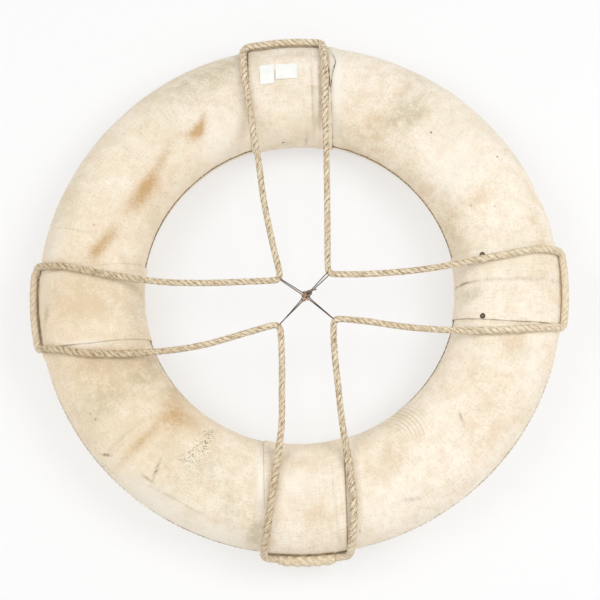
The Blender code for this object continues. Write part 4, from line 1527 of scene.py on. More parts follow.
@dataclass
class LooseCorner:
    """The loose corner of the top band that stands out beside the grab line.

    Attributes:
        outline: Its outer edge in plan, in millimetres.
        slit: Ends of the dark slit under its fold, in the same way.
        stand: How far it stands off the cover in its middle.
        root: How far its root lies inside the band's edge.
        grid: Points along its edge, and from its root to its edge.
        furrow: Half width and height of the slit, in millimetres.
        gap: Its least lift, at the edge.
        thickness: Thickness of its cloth.
    """

    outline: tuple[Pair, ...] = (
        (41, 369), (46, 362), (51, 353), (54.5, 344), (55.5, 337), (53, 329), (50.5, 318),
        (48.5, 304), (46.5, 288), (46, 276))
    slit: tuple[Pair, ...] = ((44.6, 326), (45.6, 312), (45.4, 298))
    stand: float = 0.0034
    root: float = 0.004
    grid: tuple[int, int] = (90, 30)
    furrow: Pair = (1.3, -1.6)
    gap: float = 0.0003
    thickness: float = 0.0009

    def _edge(self) -> Array:
        """Its outer edge in plan, rounded off.

        Returns:
            Points in plan, in metres.
        """
        outer = np.array(self.outline) / 1000
        shares, given = (np.linspace(0.0, 1.0, count) for count in (self.grid[0], len(outer)))
        line = np.stack([np.interp(shares, given, part) for part in outer.T], axis=-1)
        kernel = np.array([1, 4, 6, 4, 1]) / 16
        for _ in range(6):
            line[2:-2] = np.stack([np.convolve(part, kernel, "valid") for part in line.T], axis=-1)
        return line

    def build(self, band: BandPlace, material: Material) -> Piece:
        """Make the corner.

        Args:
            band: The band that it belongs to.
            material: Its canvas.

        Returns:
            The corner as a piece.
        """
        line = self._edge()
        shares, steps = (np.linspace(0.0, 1.0, count) for count in self.grid)
        way = np.array(RING.clockwise(band.own_axis))[:2]
        out = np.array((-way[1], way[0]))
        root = way * (band.width / 2 - self.root) + (line @ out)[:, None] * out
        plan = root[:, None] + (line - root)[:, None] * steps[None, :, None]
        end = np.sin(np.pi * shares)[:, None] ** 0.6
        arch = np.sin(np.pi * np.minimum(1.0, steps * 1.06))[None, :] ** 0.8 * end
        lifts = (RING.band_lift + 0.0005) * (1 - steps**3)[None, :] + self.stand * arch + 0.0004
        crease = Crease(self.slit, *self.furrow)
        furrow = crease.raise_by(plan.reshape(-1, 2)).reshape(arch.shape)
        lifts = np.maximum(lifts + furrow, self.gap)
        heights = np.array([
            RING.front_height(math.hypot(*spot), lift)
            for spot, lift in zip(plan.reshape(-1, 2), lifts.ravel())]).reshape(arch.shape)
        points = np.concatenate([plan + np.array(RING.centre), heights[..., None]], axis=-1)
        cloth = np.concatenate([plan, np.zeros_like(arch)[..., None]], axis=-1)
        rim = np.linalg.norm((line - root)[:, None] * (1 - steps)[None, :, None], axis=-1)
        # Painted shade: the corner is darkened along its outer edge, where it stands off the cover, and in the slit
        # under its fold.
        slit = np.clip(0.0024 + 1.5 * furrow, 0.0, None)
        values = {
            "cloth": cloth.reshape(-1, 3), **store_marks(points),
            "edge_off": np.minimum(rim * 0.55, slit).ravel(),
            "edge_shade_and_grime": np.where(slit < rim, 1.4, 1.5 * end).ravel()}
        piece = Patch("band_top_corner", points, values=values, flip=True).build(material)
        solidify = piece.modifiers.new("Thickness", "SOLIDIFY")
        solidify.thickness = self.thickness
        solidify.offset = 0.0
        return piece


@dataclass
class GrabLine:
    """The grab line: one loop of three-strand rope, and the splice that closes it.

    Attributes:
        diameter: Diameter of the rope.
        drawn: How much thinner it is where it is drawn taut over the hole.
        thins: Distance from the ring's axis at which it starts to thin, and over what length.
        lay: Length of one full turn of a strand.
        step: Distance between its rings of points.
        corner_radius: Radius of its corners on the rim.
        kink_radius: Radius of its corners over the hole.
        kink_drop: How far those lie below the rope on the bands.
        on_cover: Lift of its centre where it lies on the cover.
        spans: Shares of a free span at which its bows are given.
        splice_diameter: Diameter of the splice in its middle.
        splice_lay: Length of one full turn of the splice's strands.
        tucks: Depth of the splice's tucked strands.
    """

    diameter: float = 0.011
    drawn: float = 0.0015
    thins: Pair = (0.250, 0.030)
    lay: float = 0.028
    step: float = 0.0017
    corner_radius: float = 0.010
    kink_radius: float = 0.008
    kink_drop: float = 0.006
    on_cover: float = 0.0062
    spans: Triple = (0.33, 0.56, 0.80)
    splice_diameter: float = 0.0146
    splice_lay: float = 0.042
    tucks: float = 0.0010

    @property
    def on_band(self) -> float:
        """Lift of the rope's centre where it lies on a band."""
        return RING.band_lift + self.on_cover

    @property
    def kink_height(self) -> float:
        """Height of the rope's centre at the kinks over the hole."""
        return RING.middle_height + RING.thickness / 2 + self.on_band - self.kink_drop

    def _lift(self, band: BandPlace, offset: float, radius: float) -> float:
        """Lift of the rope on a band, on its edge or beside it.

        Args:
            band: The band.
            offset: The rope's offset.
            radius: Its distance from the ring's axis.

        Returns:
            The lift of its centre.
        """
        turned = math.asin(offset / radius) + math.radians(band.skew)
        beyond = max(0.0, abs(radius * math.sin(turned)) - band.width / 2)
        over_edge = math.sqrt(max(0.0, self.on_cover**2 - beyond**2))
        return max(self.on_cover, RING.band_lift + over_edge)

    def _point(self, band: BandPlace, offset: float, side: int, turn: float) -> Vector:
        """Point of the rope where it lies on the section."""
        lift = self._lift(band, offset, RING.section(side, turn)[0])
        return RING.place(band.axis, offset, *RING.section(side, turn, lift))

    @staticmethod
    def _offset(band: BandPlace, leg: RopeLeg, turn: float) -> float:
        """Offset of a leg at a turn, between those given for it."""
        offsets = (leg.rim, leg.low_shoulder, leg.high_shoulder, leg.outer_edge)
        return float(np.interp(turn, (band.rim_turn, 45.0, 70.0, 90.0), offsets))

    def _leg(self, band: BandPlace, leg: RopeLeg, rim_side: int) -> list[Vector]:
        """Points from the end of the rim run, round the corner and over the face's flat.

        Args:
            band: The band.
            leg: The leg of the rope on it.
            rim_side: Side of the leg on which the rim run lies, 1 or -1.

        Returns:
            The rope's middle at each place.
        """
        shoulder = (RING.half_width - RING.face_flat / 2 + RING.thickness / 2) / 2 + self.on_band
        corner_turn = math.degrees(self.corner_radius / shoulder)
        first = band.rim_turn + corner_turn
        first_offset = self._offset(band, leg, first)
        points = []
        for step in range(4, 0, -1):
            bend = math.radians(22.5 * step)
            offset = first_offset + rim_side * self.corner_radius * (1 - math.cos(bend))
            turn = band.rim_turn + corner_turn * (1 - math.sin(bend))
            points.append(self._point(band, offset, RIM, turn))
        steps = math.ceil((90.0 - first) / 11.0)
        for step in range(steps + 1):
            turn = first + (90.0 - first) * step / steps
            points.append(self._point(band, self._offset(band, leg, turn), RIM, turn))
        points.append(self._point(band, leg.inner_edge, HOLE, 90.0))
        points.insert(-1, (points[-2] + points[-1]) / 2)
        return points

    def _span(self, band: BandPlace, leg: RopeLeg, start: Vector, kink: Vector) -> list[Vector]:
        """Points along a free span, from the flat's inner edge towards a kink."""
        way = RingShape.clockwise(band.axis)
        return [start.lerp(kink, share) + way * bow for share, bow in zip(self.spans, leg.bows)]

    def _kink(self, before: Vector, kink: Vector, after: Vector) -> list[Vector]:
        """Points round a kink, as an arc between the two spans' directions.

        Args:
            before: Last point of the span that comes in.
            kink: Corner at which both spans would meet.
            after: First point of the span that goes out.

        Returns:
            Five points of the arc.
        """
        way_in, way_out = (kink - before).normalized(), (after - kink).normalized()
        bend = way_in.angle(way_out)
        start = kink - way_in * self.kink_radius * math.tan(bend / 2)
        centre = kink + (way_out - way_in).normalized() * self.kink_radius / math.cos(bend / 2)
        normal = way_in.cross(way_out).normalized()
        return [
            centre + Matrix.Rotation(bend * step / 4, 3, normal) @ (start - centre)
            for step in range(5)]

    def _rim(self, band: BandPlace, start: Vector, end: Vector) -> list[Vector]:
        """Three points along the rim, between a band's two corners."""
        first, last = RING.offset(band.axis, start), RING.offset(band.axis, end)
        return [
            self._on_rim(band, first + (last - first) * step / 4) for step in range(1, 4)]

    def _on_rim(self, band: BandPlace, offset: float) -> Vector:
        """Point of the rope's run along the rim outside a band."""
        return RING.place(band.axis, offset, *RING.section(RIM, band.rim_turn, self.on_band))

    def route(self) -> tuple[list[Vector], dict[tuple[str, str], Vector]]:
        """The rope's smooth centreline from one end of the splice round to the other.

        Returns:
            The centreline's points, and the rope's middle at each kink.
        """
        previous = BANDS[-1]
        points = self._leg(previous, previous.leaving, -1)
        kinks = {}
        for band in BANDS:
            x, y = KINKS[previous.name, band.name]
            vertex = Vector((RING.centre[0] + x, RING.centre[1] + y, self.kink_height))
            leg_out = self._leg(band, band.arriving, 1)[::-1]
            incoming = self._span(previous, previous.leaving, points[-1], vertex)
            outgoing = self._span(band, band.arriving, leg_out[0], vertex)[::-1]
            corner = self._kink(incoming[-1], vertex, outgoing[0])
            kinks[previous.name, band.name] = corner[2]
            points += incoming + corner + outgoing + leg_out
            if band is not BANDS[-1]:
                leg_in = self._leg(band, band.leaving, -1)
                points += self._rim(band, points[-1], leg_in[0]) + leg_in
            previous = band
        start, finish = (
            self._on_rim(previous, RING.offset(previous.axis, end) + beyond)
            for end, beyond in ((points[0], -self.diameter), (points[-1], self.diameter)))
        return [start, *smooth(points), finish], kinks

    def build(self, material: Material) -> tuple[Piece, list[Vector], dict]:
        """Make the rope.

        Args:
            material: Its hemp.

        Returns:
            The rope as a piece, its centreline and its kinks.
        """
        route, kinks = self.route()
        line = evenly(route, self.step)
        out = np.linalg.norm(np.array(line)[:, :2] - RING.centre, axis=1)
        taut = np.clip((self.thins[0] - out) / self.thins[1], 0.0, 1.0)
        piece = RopeTube(
            "grab_line", line, self.diameter / 2, math.tau / self.lay,
            -self.drawn / 2 * taut).build(material)
        return piece, line, kinks

    def splice(self, line: Sequence[Vector], material: Material) -> Piece:
        """Make the splice between the rope's two ends.

        Args:
            line: The rope's centreline.
            material: Its hemp.

        Returns:
            The splice as a piece.
        """
        band = BANDS[-1]
        start, finish = (RING.offset(band.axis, end) for end in (line[-1], line[0]))
        swell = (self.splice_diameter - self.diameter) / 2
        points, growths = [], []
        for share in np.linspace(0.0, 1.0, 64):
            inner = min(1.0, max(0.0, (share - 0.02) / 0.96))
            growth = swell * (0.30 + 0.70 * math.sin(math.pi * inner) ** 0.22)
            radius, height = RING.section(RIM, band.rim_turn, self.on_band + growth)
            points.append(RING.place(band.axis, start + (finish - start) * share, radius, height))
            growths.append(growth)
        return RopeTube(
            "grab_line_splice", points, self.diameter / 2, math.tau / self.splice_lay,
            np.array(growths), self.tucks).build(material)


def smooth(points: Sequence[Vector], per_span: int = 8) -> list[Vector]:
    """Draw a centripetal Catmull-Rom curve through points.

    Args:
        points: The points that it goes through.
        per_span: Points on it for each span between two of them.

    Returns:
        Points on the curve.
    """
    padded = [points[0] * 2 - points[1], *points, points[-1] * 2 - points[-2]]
    curve = [points[0]]
    for p0, p1, p2, p3 in zip(padded, padded[1:], padded[2:], padded[3:]):
        t1 = math.sqrt((p1 - p0).length)
        t2 = t1 + math.sqrt((p2 - p1).length)
        t3 = t2 + math.sqrt((p3 - p2).length)
        for step in range(1, per_span + 1):
            t = t1 + (t2 - t1) * step / per_span
            a1 = p0.lerp(p1, t / t1)
            a2 = p1.lerp(p2, (t - t1) / (t2 - t1))
            a3 = p2.lerp(p3, (t - t2) / (t3 - t2))
            b1 = a1.lerp(a2, t / t2)
            b2 = a2.lerp(a3, (t - t1) / (t3 - t1))
            curve.append(b1.lerp(b2, (t - t1) / (t2 - t1)))
    return curve


def lengths_along(line: Array) -> Array:
    """Length of a line from its start to each of its points."""
    return np.concatenate([[0.0], np.cumsum(np.linalg.norm(np.diff(line, axis=0), axis=1))])


def evenly(points: Sequence[Vector], step: float) -> list[Vector]:
    """Space points evenly along a line.

    Args:
        points: Points of the line.
        step: Distance between the new points, about.

    Returns:
        The new points.
    """
    line = np.array(points)
    lengths = lengths_along(line)
    wanted = np.linspace(0.0, lengths[-1], round(lengths[-1] / step) + 1)
    return [
        Vector(point)
        for point in np.stack([np.interp(wanted, lengths, part) for part in line.T], axis=-1)]


def frames_along(line: Array) -> tuple[Array, Array]:
    """Find two unit vectors across a line that don't turn about it.

    Args:
        line: Points of the line.

    Returns:
        Both vectors at each point.
    """
    ways = np.gradient(line, axis=0)
    ways /= np.linalg.norm(ways, axis=1)[:, None]
    first = np.cross(ways[0], (0.0, 0.0, 1.0))
    normals = [first / np.linalg.norm(first)]
    for way in ways[1:]:
        normal = normals[-1] - way * (normals[-1] @ way)
        normals.append(normal / np.linalg.norm(normal))
    return np.array(normals), np.cross(ways, normals)


def outwards(turns: Array, first: Array, second: Array) -> Array:
    """Unit vectors at angles about a line, from the two vectors across it at each point."""
    return np.cos(turns)[..., None] * first[:, None] + np.sin(turns)[..., None] * second[:, None]


def capped(rings: Array, line: Array, share: float) -> Array:
    """Close a tube along a line by a ring at each end, a share as wide as its neighbour."""
    start, end = (line[at] + (rings[at] - line[at]) * share for at in (0, -1))
    return np.concatenate([start[None], rings, end[None]])


@dataclass
class RopeTube:
    """Three strands laid round a centreline, as one surface with a deep groove between strands.

    Attributes:
        node: The CAD node that it stands for.
        line: Centreline.
        radius: Radius over the strands' crowns.
        twist: Turn of the strands in radians to a metre, right-handed.
        growths: What each point of the centreline adds to the radius.
        tucks: Depth of a splice's tucked strands, 0 for plain rope.
        lump: Depth of its lumps, where it has tucks.
        lobe: Places of the points on one strand, from one groove at -1 to the next at 1.
        slip: Layers of unevenness in the strands' turn, in radians.
        wobble: Layer of unevenness in the radius, as a share of it.
    """

    node: str
    line: Sequence[Vector]
    radius: float
    twist: float
    growths: Array
    tucks: float = 0.0
    lump: float = 0.0008
    lobe: tuple[float, ...] = (-1.0, -0.9, -0.72, -0.42, 0.0, 0.42, 0.72, 0.9)
    slip: tuple[Triple, ...] = ((0.45, 0.05, 2.0), (0.15, 0.012, 9.0))
    wobble: Triple = (0.05, 0.009, 4.0)

    def build(self, material: Material) -> Piece:
        """Make the rope's surface, closed at both ends.

        Args:
            material: Its hemp.

        Returns:
            The rope as a piece.
        """
        line = np.array(self.line)
        phase = np.tile(self.lobe, 3)
        strand = np.repeat(np.arange(3), len(self.lobe))
        grid_s, grid_b = np.meshgrid(
            lengths_along(line), phase * math.pi / 3 + strand * math.tau / 3, indexing="ij")
        grid_a = grid_b + grid_s * self.twist + uneven(line, *self.slip)[:, None]
        shares = 1 - 0.07 * phase**2 - 0.13 * phase**6
        radii = self.radius * (1 + uneven(line, self.wobble))[:, None] * shares
        radii = radii + self.growths[:, None]
        out = outwards(grid_a, *frames_along(line))
        # Painted light and shade: the crown value falls in the grooves between strands, on the strands' undersides and
        # in the splice's tucks.
        crown = (1 - phase**8) * np.clip(0.88 + 0.30 * out[..., 2], 0.50, 1.0)
        if self.tucks:
            lump = uneven(line, (1.0, 0.011, 6.0))[:, None]
            tucked = np.sin(3 * grid_b + grid_s * self.twist * 6.0 + lump)
            radii = radii + self.tucks * tucked + self.lump * lump
            crown = crown * (0.85 + 0.15 * tucked)
        points = capped(line[:, None] + out * radii[..., None], line, 0.02)
        values = {"crown": crown.ravel()}
        yarns = grid_a - 0.55 * self.twist * grid_s
        shifted = grid_s + 0.37 * strand
        for name, turn, place in (("laid", yarns, shifted), ("spun", grid_b, grid_s)):
            parts = [np.cos(turn) * self.radius, np.sin(turn) * self.radius, place]
            values[name] = np.stack(parts, axis=-1).reshape(-1, 3)
        sides = len(phase)
        values = {
            name: np.concatenate([value[:sides], value, value[-sides:]])
            for name, value in values.items()}
        tube = Patch(self.node + "_rope", points, closed_columns=True, values=values)
        return tube.build(material, self.node)


@dataclass
class SeamSewing:
    """The thread along the cover's seam and the slanted stitches that draw its halves together.

    Attributes:
        side: RIM or HOLE.
        sunk: Depth of the cord's middle under the cover's surface.
        pitch: Distance between stitches.
        reach: How far a stitch goes into each half.
        slant: How far it runs along the seam, to each side of its middle.
        thickness: Diameter of the thread.
        cord: Radius of the cord in the seam, and the number of its points round the ring.
        rise: How a stitch lies over the cover: in its middle, at its ends, and all along.
    """

    side: int
    sunk: float
    pitch: float = 0.0078
    reach: float = 0.0030
    slant: float = 0.0019
    thickness: float = 0.0009
    cord: tuple[float, int] = (0.0007, 420)
    rise: Triple = (0.0004, 0.0009, 0.0003)

    def build(self, name: str, material: Material) -> None:
        """Make the sewing.

        Args:
            name: The CAD node that it stands for.
            material: Its thread.
        """
        radius = RING.section(self.side, 0.0)[0] - self.side * self.sunk
        cord_radius, count = self.cord
        circle = RING.spread(
            np.linspace(0.0, 360.0, count, endpoint=False), 0.0, radius,
            np.full(count, RING.middle_height))
        tubes = [self._tube(circle, cord_radius, True)]
        stitches = round(math.tau * radius / self.pitch)
        for angle in (360.0 * index / stitches for index in range(stitches)):
            if not self._under_band(angle):
                tubes.append(self._tube(self._stitch(angle), self.thickness / 2, False))
        points = [tube.points.reshape(-1, 3) for tube in tubes]
        starts = np.cumsum([0, *map(len, points)])
        faces = [tube.faces() + start for tube, start in zip(tubes, starts)]
        core = np.arange(starts[-1]) < starts[1]
        add_piece(
            name + "_sewing", np.concatenate(points), np.concatenate(faces), material,
            {"core": core}, name)

    @staticmethod
    def _under_band(angle: float) -> bool:
        """Whether a band hides the seam at an angle."""
        return any(
            abs((angle - band.own_axis + 180.0) % 360.0 - 180.0)
            < math.degrees(math.asin((band.width / 2 + 0.002) / 0.24))
            for band in BANDS)

    def _stitch(self, angle: float) -> Array:
        """One slanted stitch over the seam.

        Args:
            angle: Direction of its middle from the ring's axis.

        Returns:
            Points of its thread's middle.
        """
        middle, ends, sunk = self.rise
        points = []
        for share in np.linspace(-1.0, 1.0, 7):
            turn = math.degrees(share * self.reach / 0.052)
            lift = middle * (1 - share**4) - ends * share**6 - sunk
            radius, height = RING.section(self.side, turn, lift)
            shift = math.degrees(share * self.slant / radius)
            points.append(RING.spread(angle + shift, 0.0, radius, height))
        return np.array(points)

    @staticmethod
    def _tube(line: Array, radius: float, closed: bool) -> Patch:
        """Draw a thin round tube along a line.

        Args:
            line: Points of its middle.
            radius: Its radius.
            closed: Whether it closes on itself.

        Returns:
            The tube.
        """
        ways = np.roll(line, -1, 0) - np.roll(line, 1, 0) if closed else np.gradient(line, axis=0)
        ways /= np.linalg.norm(ways, axis=1)[:, None]
        away = line - np.array((*RING.centre, RING.middle_height))
        across = np.cross(ways, away)
        across /= np.linalg.norm(across, axis=1)[:, None]
        turns = np.linspace(0.0, math.tau, 6, endpoint=False)
        out = outwards(turns, np.cross(across, ways), across)
        return Patch("", line[:, None] + out * radius, closed_rows=closed, closed_columns=True)


@dataclass
class Tack:
    """A tack driven through a band.

    Attributes:
        node: The CAD node that it stands for.
        band: The band that it holds.
        offset: Offset from the band's middle.
        turn: Turn on the hole's side of the section.
        diameter: Diameter of its head.
        height: Height of its head.
        seat: Height of the head's lower edge over the band.
        dents: Depth of its edge's dents.
        profile: Head and shank from the crown down, as shares of the head's radius and height.
    """

    node: str
    band: BandPlace
    offset: float
    turn: float
    diameter: float = 0.0080
    height: float = 0.0017
    seat: float = 0.0004
    dents: float = 0.03
    profile: tuple[Pair, ...] = (
        (0.02, 1.00), (0.25, 0.97), (0.50, 0.86), (0.70, 0.68), (0.86, 0.42), (0.96, 0.18),
        (1.00, 0.04), (0.98, -0.06), (0.80, -0.08), (0.24, -0.08), (0.22, -3.0), (0.01, -6.5))

    def build(self, material: Material) -> None:
        """Make the tack's head and shank.

        Args:
            material: Its metal.
        """
        seat, near = (
            RING.place(
                self.band.own_axis, self.offset, *RING.section(HOLE, turn, RING.band_lift))
            for turn in (self.turn, self.turn + 0.5))
        sideways = RingShape.clockwise(self.band.own_axis)
        normal = sideways.cross((near - seat).normalized()).normalized()
        if normal.z < 0:
            normal.negate()
        turns = np.linspace(0.0, math.tau, 28, endpoint=False)
        dent = 1 + self.dents * np.sin(3 * turns + self.offset * 900)
        out = outwards(turns, np.array([sideways]), np.array([sideways.cross(normal)]))[0]
        rings = np.array([
            np.array(seat) + np.array(normal) * (self.seat + height * self.height)
            + out * (radius * self.diameter / 2 * dent)[:, None]
            for radius, height in self.profile])
        worn = np.clip(1.15 - np.array(self.profile)[:, 0], 0.0, 1.0)
        Patch(
            self.node + "_head", rings, closed_columns=True, flip=True,
            values={"crown": np.repeat(worn, len(turns))}).build(material, self.node)


def add_wire(node: str, route: Sequence[Vector], thickness: float, material: Material) -> None:
    """Make a round wire that narrows to a point at both ends.

    Args:
        node: The CAD node that it stands for.
        route: Evenly spaced points of its middle.
        thickness: Its diameter.
        material: Its metal.
    """
    line = np.array(route)
    turns = np.linspace(0.0, math.tau, 8, endpoint=False)
    rings = line[:, None] + outwards(turns, *frames_along(line)) * thickness / 2
    Patch(node + "_iron", capped(rings, line, 0.05), closed_columns=True).build(material, node)


TIE_CENTRE = (0.0103, -0.0227)
TIE_WIRES = (
    (
        "tie_wire_1", ("left", "top"), ("right", "bottom"), 0.00105,
        ((0.0014, 0.0001), (0.0011, -0.0004))),
    (
        "tie_wire_2", ("top", "right"), ("bottom", "left"), -0.00105,
        ((-0.0008, -0.0014), (-0.0013, 0.0008))),
)


def tie_middle() -> Vector:
    """Place where the ties cross, at the height of the rope's kinks."""
    return Vector((
        RING.centre[0] + TIE_CENTRE[0], RING.centre[1] + TIE_CENTRE[1], GrabLine().kink_height))


@dataclass
class TieWire:
    """A doubled wire that hooks round two opposite kinks of the grab line.

    Attributes:
        node: The CAD node that it stands for.
        first: Bands on both sides of the kink at one end.
        second: Bands on both sides of the kink at the other end.
        level: Height over the middle of the ties.
        spread: For each end, half the strands' distance at the binding and at the rope.
        thickness: Diameter of the wire.
        hook: Radius of the hook in the rope's surface, sideways and upright.
        hold: Distances from the middle at which its ends lie and its strands are held.
        step: Distance between its rings of points.
    """

    node: str
    first: tuple[str, str]
    second: tuple[str, str]
    level: float
    spread: tuple[Pair, Pair]
    thickness: float = 0.0015
    hook: Pair = (0.0040, 0.0033)
    hold: Pair = (0.0015, 0.006)
    step: float = 0.0009

    def build(self, kinks: dict, material: Material) -> None:
        """Make the wire.

        Args:
            kinks: The rope's middle at each kink.
            material: Its rusty iron.
        """
        base = tie_middle()
        centre = base + Vector((0.0, 0.0, self.level))
        ways = [(kinks[key] - base).normalized() for key in (self.first, self.second)]
        across = (ways[0] - ways[1]).normalized().cross(Vector((0.0, 0.0, 1.0)))
        (near, far), (near_second, far_second) = self.spread
        held = self.hold[1]
        route = [centre + ways[0] * out + across * near for out in self.hold]
        route += self._hook(kinks[self.first], ways[0], across * far, False)
        route += [
            centre + ways[0] * held - across * near,
            centre + ways[1] * held - across * near_second]
        route += self._hook(kinks[self.second], ways[1], -across * far_second, True)
        route += [centre + ways[1] * out + across * near_second for out in self.hold[::-1]]
        add_wire(self.node, evenly(smooth(route), self.step), self.thickness, material)

    def _hook(self, middle: Vector, away: Vector, side: Vector, rising: bool) -> list[Vector]:
        """Points round the rope in an upright plane, from one strand of the wire to the other.

        Args:
            middle: The rope's middle at the kink.
            away: Direction from the ties' middle to the kink.
            side: Place of the first strand beside the wire's middle.
            rising: Whether the wire comes in from below.

        Returns:
            Ten points of the hook.
        """
        points = []
        for share in np.linspace(0.0, 1.0, 10):
            angle = math.radians(200.0 * (0.5 - share)) * (-1 if rising else 1)
            points.append(
                middle + away * self.hook[0] * math.cos(angle)
                + Vector((0.0, 0.0, self.hook[1] * math.sin(angle))) + side * (1 - 2 * share))
        return points


@dataclass
class Binding:
    """The wire that binds both tie wires in the middle, wound both ways, with its end cut off.

    Attributes:
        node: The CAD node that it stands for.
        thickness: Diameter of the wire.
        turns: For each winding its direction in degrees, turns, pitch, half width and half depth.
        bulge: How much narrower a winding is at its ends, how uneven it is, and how fast it varies.
        tail: Points of the cut end, from the middle of the ties.
        step: Distance between its rings of points.
    """

    node: str = "tie_binding"
    thickness: float = 0.0022
    turns: tuple[tuple[float, ...], ...] = (
        (66.0, 3.0, 0.0048, 0.0056, 0.0048),
        (-24.0, 1.5, 0.0046, 0.0070, 0.0066),
    )
    bulge: Triple = (0.22, 0.09, 7.3)
    step: float = 0.0007
    tail: tuple[Triple, ...] = (
        (0.0034, -0.0006, 0.0076), (0.0062, -0.0004, 0.0078), (0.0080, 0.0022, 0.0078),
        (0.0072, 0.0052, 0.0080), (0.0042, 0.0058, 0.0084), (0.0026, 0.0040, 0.0094),
        (0.0052, 0.0040, 0.0104), (0.0088, 0.0056, 0.0096), (0.0120, 0.0076, 0.0078),
        (0.0148, 0.0082, 0.0060))

    def build(self, material: Material) -> None:
        """Make the binding.

        Args:
            material: Its rusty iron.
        """
        base = tie_middle()
        narrow, vary, pace = self.bulge
        route = []
        for direction, turns, pitch, width, depth in self.turns:
            heading = math.radians(direction)
            axis = Vector((math.cos(heading), math.sin(heading), 0.0))
            side = Vector((-axis.y, axis.x, 0.0))
            for step in np.arange(0.0, turns, 1 / 18):
                angle = math.tau * step
                bulge = 1 - narrow * (2 * step / turns - 1) ** 2
                bulge += vary * math.sin(pace * step + direction)
                route.append(
                    base + axis * pitch * (step - turns / 2)
                    + side * width * bulge * math.sin(angle)
                    - Vector((0.0, 0.0, depth * bulge * math.cos(angle))))
        route += [base + Vector(point) for point in self.tail]
        add_wire(self.node, evenly(smooth(route, 3), self.step), self.thickness, material)


@dataclass
class Studio:
    """White floor, soft light from the right, and the camera.

    Attributes:
        target: What the camera looks at, the middle of the ring's section.
        toward_camera: Direction from there to the camera.
        distance: Distance from there to the camera.
        lens: Focal length in millimetres.
        shift: Where the target falls beside the picture's middle, as shares of its width.
        paper: Brightness of the floor, and of the glow that the camera sees on it.
        glow: Share of the glow.
        half_floor: Half the floor's width.
        lamps: For each lamp its name, place, power and diameter.
        sky: Strength of the world's even light.
    """

    target: Vector
    toward_camera: Vector = field(default_factory=lambda: Vector((0.01825, -0.25955, 0.96556)))
    distance: float = 2.130
    lens: float = 87.48
    shift: Pair = (0.00118, -0.01588)
    paper: Pair = (0.94, 0.965)
    glow: float = 0.52
    half_floor: float = 12.0
    lamps: tuple[tuple[str, Triple, float, float], ...] = (
        ("window", (1.75, 0.20, 2.30), 23.0, 1.5),
        ("opposite", (-1.75, 0.10, 2.30), 16.0, 1.5),
        ("fill", (0.20, -1.50, 2.60), 8.5, 2.0),
    )
    sky: float = 0.64

    def camera(self) -> None:
        """Set up the camera at the photograph's angle."""
        data = bpy.data.cameras.new("camera")
        data.lens = self.lens
        data.sensor_width = 36.0
        data.shift_x, data.shift_y = self.shift
        camera = bpy.data.objects.new("camera", data)
        back = self.toward_camera.normalized()
        right = Vector((0.0, 1.0, 0.0)).cross(back).normalized()
        up = back.cross(right)
        camera.matrix_world = Matrix.Translation(self.target + back * self.distance) @ Matrix(
            (right, up, back)).transposed().to_4x4()
        bpy.context.scene.collection.objects.link(camera)
        bpy.context.scene.camera = camera

    def floor(self) -> None:
        """Lay the white floor, which takes the object's shadow."""
        graph = Graph(bpy.data.materials.new("floor"))
        camera, glossy, transmitted = (
            graph.add("ShaderNodeLightPath", output=f"Is {kind} Ray")
            for kind in ("Camera", "Glossy", "Transmission"))
        seen = camera.at_least(glossy).at_least(transmitted)
        plain, white = (
            graph.add(kind, None, {"Color": (grey, grey, grey, 1.0)})
            for kind, grey in zip(("ShaderNodeBsdfDiffuse", "ShaderNodeEmission"), self.paper))
        mixed = graph.add("ShaderNodeMixShader", None, {0: seen * self.glow, 1: plain, 2: white})
        graph.add("ShaderNodeOutputMaterial", None, {"Surface": mixed})
        mesh = bpy.data.meshes.new("floor")
        size = self.half_floor
        corners = [(-size, -size, 0), (size, -size, 0), (size, size, 0), (-size, size, 0)]
        mesh.from_pydata(corners, [], [(0, 1, 2, 3)])
        mesh.materials.append(graph.owner)
        floor = bpy.data.objects.new("floor", mesh)
        bpy.context.scene.collection.objects.link(floor)
        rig.stage(floor)

    def light(self) -> None:
        """Add the soft lamps and the world's even light."""
        for name, spot, energy, size in self.lamps:
            lamp = bpy.data.lights.new(name, "AREA")
            lamp.shape = "DISK"
            lamp.size = size
            lamp.energy = energy
            place = Vector(spot)
            holder = bpy.data.objects.new(name, lamp)
            holder.matrix_world = Matrix.Translation(place) @ (
                (place - self.target).to_track_quat("Z", "Y").to_matrix().to_4x4())
            bpy.context.scene.collection.objects.link(holder)

        world = bpy.data.worlds.new("studio")
        bpy.context.scene.world = world
        graph = Graph(world)
        seen = graph.add("ShaderNodeLightPath", output="Is Camera Ray")
        even, white = (
            graph.add("ShaderNodeBackground", None, {0: opaque((1.0, 1.0, 1.0)), 1: strength})
            for strength in (self.sky, 1.0))
        mixed = graph.add("ShaderNodeMixShader", None, {0: seen, 1: even, 2: white})
        graph.add("ShaderNodeOutputWorld", None, {0: mixed})

    def build(self) -> None:
        """Set up the whole studio."""
        bpy.context.scene.view_settings.view_transform = "Standard"
        self.camera()
        self.floor()
        self.light()


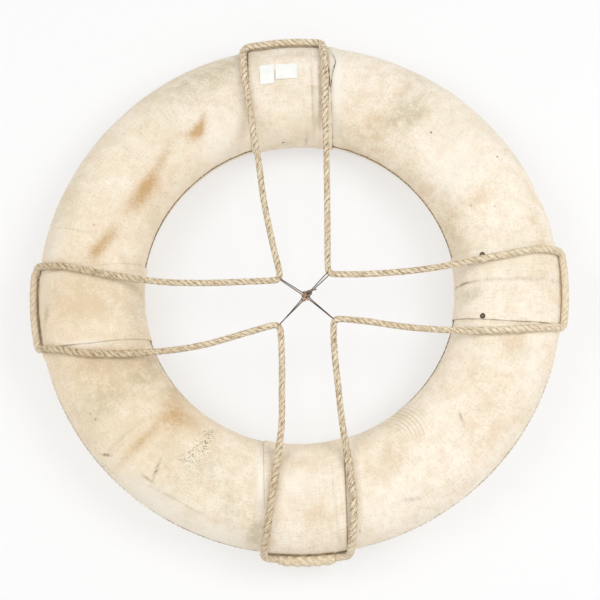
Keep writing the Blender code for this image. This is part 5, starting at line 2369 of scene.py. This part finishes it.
@dataclass
class LifeRing:
    """The whole life ring.

    Attributes:
        kinks: The rope's middle at each kink, by the bands on both sides of it.
    """

    kinks: dict[tuple[str, str], Vector] = field(default_factory=dict)

    def build_cover(self) -> None:
        """Make the cover and its sewing."""
        canvas = CanvasFinish("cover_canvas", spots=SPOTS).material()
        cover = Cover()
        cover.half("cover_front", 1, canvas)
        cover.half("cover_back", -1, canvas)
        for side, name, sunk, cord in (
            (RIM, "seam_thread_rim", 0.0009, srgb(176, 160, 130)),
            (HOLE, "seam_thread_hole", 0.0001, srgb(140, 124, 100)),
        ):
            SeamSewing(side, sunk).build(name, ThreadFinish(name, cord).material())

    def build_bands(self) -> None:
        """Make the four bands and the top band's loose corner."""
        canvas = CanvasFinish("band_canvas", thread=0.0009).material()
        boxes = np.array([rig.box("label_small"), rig.box("label_wide")])
        labels = tuple(boxes.mean((0, 1))[:2] - RING.centre)
        for where in BANDS:
            top = where.name == "top"
            band = CanvasBand(where, CREASES[where.name], labels if top else None)
            piece = band.build(canvas)
            band.declare(piece, [LooseCorner().build(where, canvas)] if top else [])

    def build_rope(self) -> None:
        """Make the grab line and its splice."""
        grab_line = GrabLine()
        hemp = HempFinish("hemp_rope").material()
        rope, line, self.kinks = grab_line.build(hemp)
        bleached = HempFinish(
            "hemp_splice", srgb(242, 224, 192), srgb(200, 175, 136), srgb(253, 243, 222)).material()
        splice = grab_line.splice(line, bleached)
        length = sum((second - first).length for first, second in zip(line, line[1:]))
        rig.cord(
            rope, exit=line[0], length=length, diameter=grab_line.diameter, far_end="object",
            stiffness="limp", lay="taut", path=line[::2] + [line[-1]], with_pieces=[splice])

    def build_fastenings(self) -> None:
        """Make the tie wires, their binding and the tacks."""
        rust = RustFinish("rusty_wire", srgb(88, 75, 69), srgb(130, 100, 82)).material()
        for tie in TIE_WIRES:
            TieWire(*tie).build(self.kinks, rust)
        bound = RustFinish(
            "rusty_binding", srgb(140, 124, 106), srgb(206, 170, 142), tuple(tie_middle()),
            (-28.0, -28.0, 0.0)).material()
        Binding().build(bound)
        bands = {band.name: band for band in BANDS}
        worn = TackFinish().material()
        dull = TackFinish("rusty_tack", srgb(176, 146, 112), srgb(204, 178, 140)).material()
        for tack, metal in (
            (Tack("tack_right_lower", bands["right"], 0.0466, 71.0), worn),
            (Tack("tack_right_upper", bands["right"], -0.0437, 71.0), worn),
            (Tack("tack_top", bands["top"], -0.0136, 12.0, 0.0034, 0.0009), dull),
        ):
            tack.build(metal)

    def dress_core(self) -> None:
        """Dress the labels, the cork blocks and the pegs."""
        for start, finish in (
            ("label_", PaperFinish()), ("cork_", CorkFinish()), ("wooden_peg_", PegFinish())
        ):
            material = finish.material()
            for name, node in frame["nodes"].items():
                if name.startswith(start):
                    node.data.materials.clear()
                    node.data.materials.append(material)

    def build(self) -> None:
        """Make every piece in order."""
        self.build_rope()
        self.build_cover()
        self.build_bands()
        self.build_fastenings()
        self.dress_core()


def main() -> None:
    """Set up the studio, make the ring and write both boxes."""
    Studio(Vector((*RING.centre, RING.middle_height))).build()
    LifeRing().build()
    boxes = {"cad": CAD_BOX, "visual": [list(corner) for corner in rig.bounds()]}
    with open("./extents.json", "w", encoding="utf-8") as file:
        json.dump(boxes, file)
    log.info("boxes: %s", boxes)


if __name__ == "__main__":
    main()
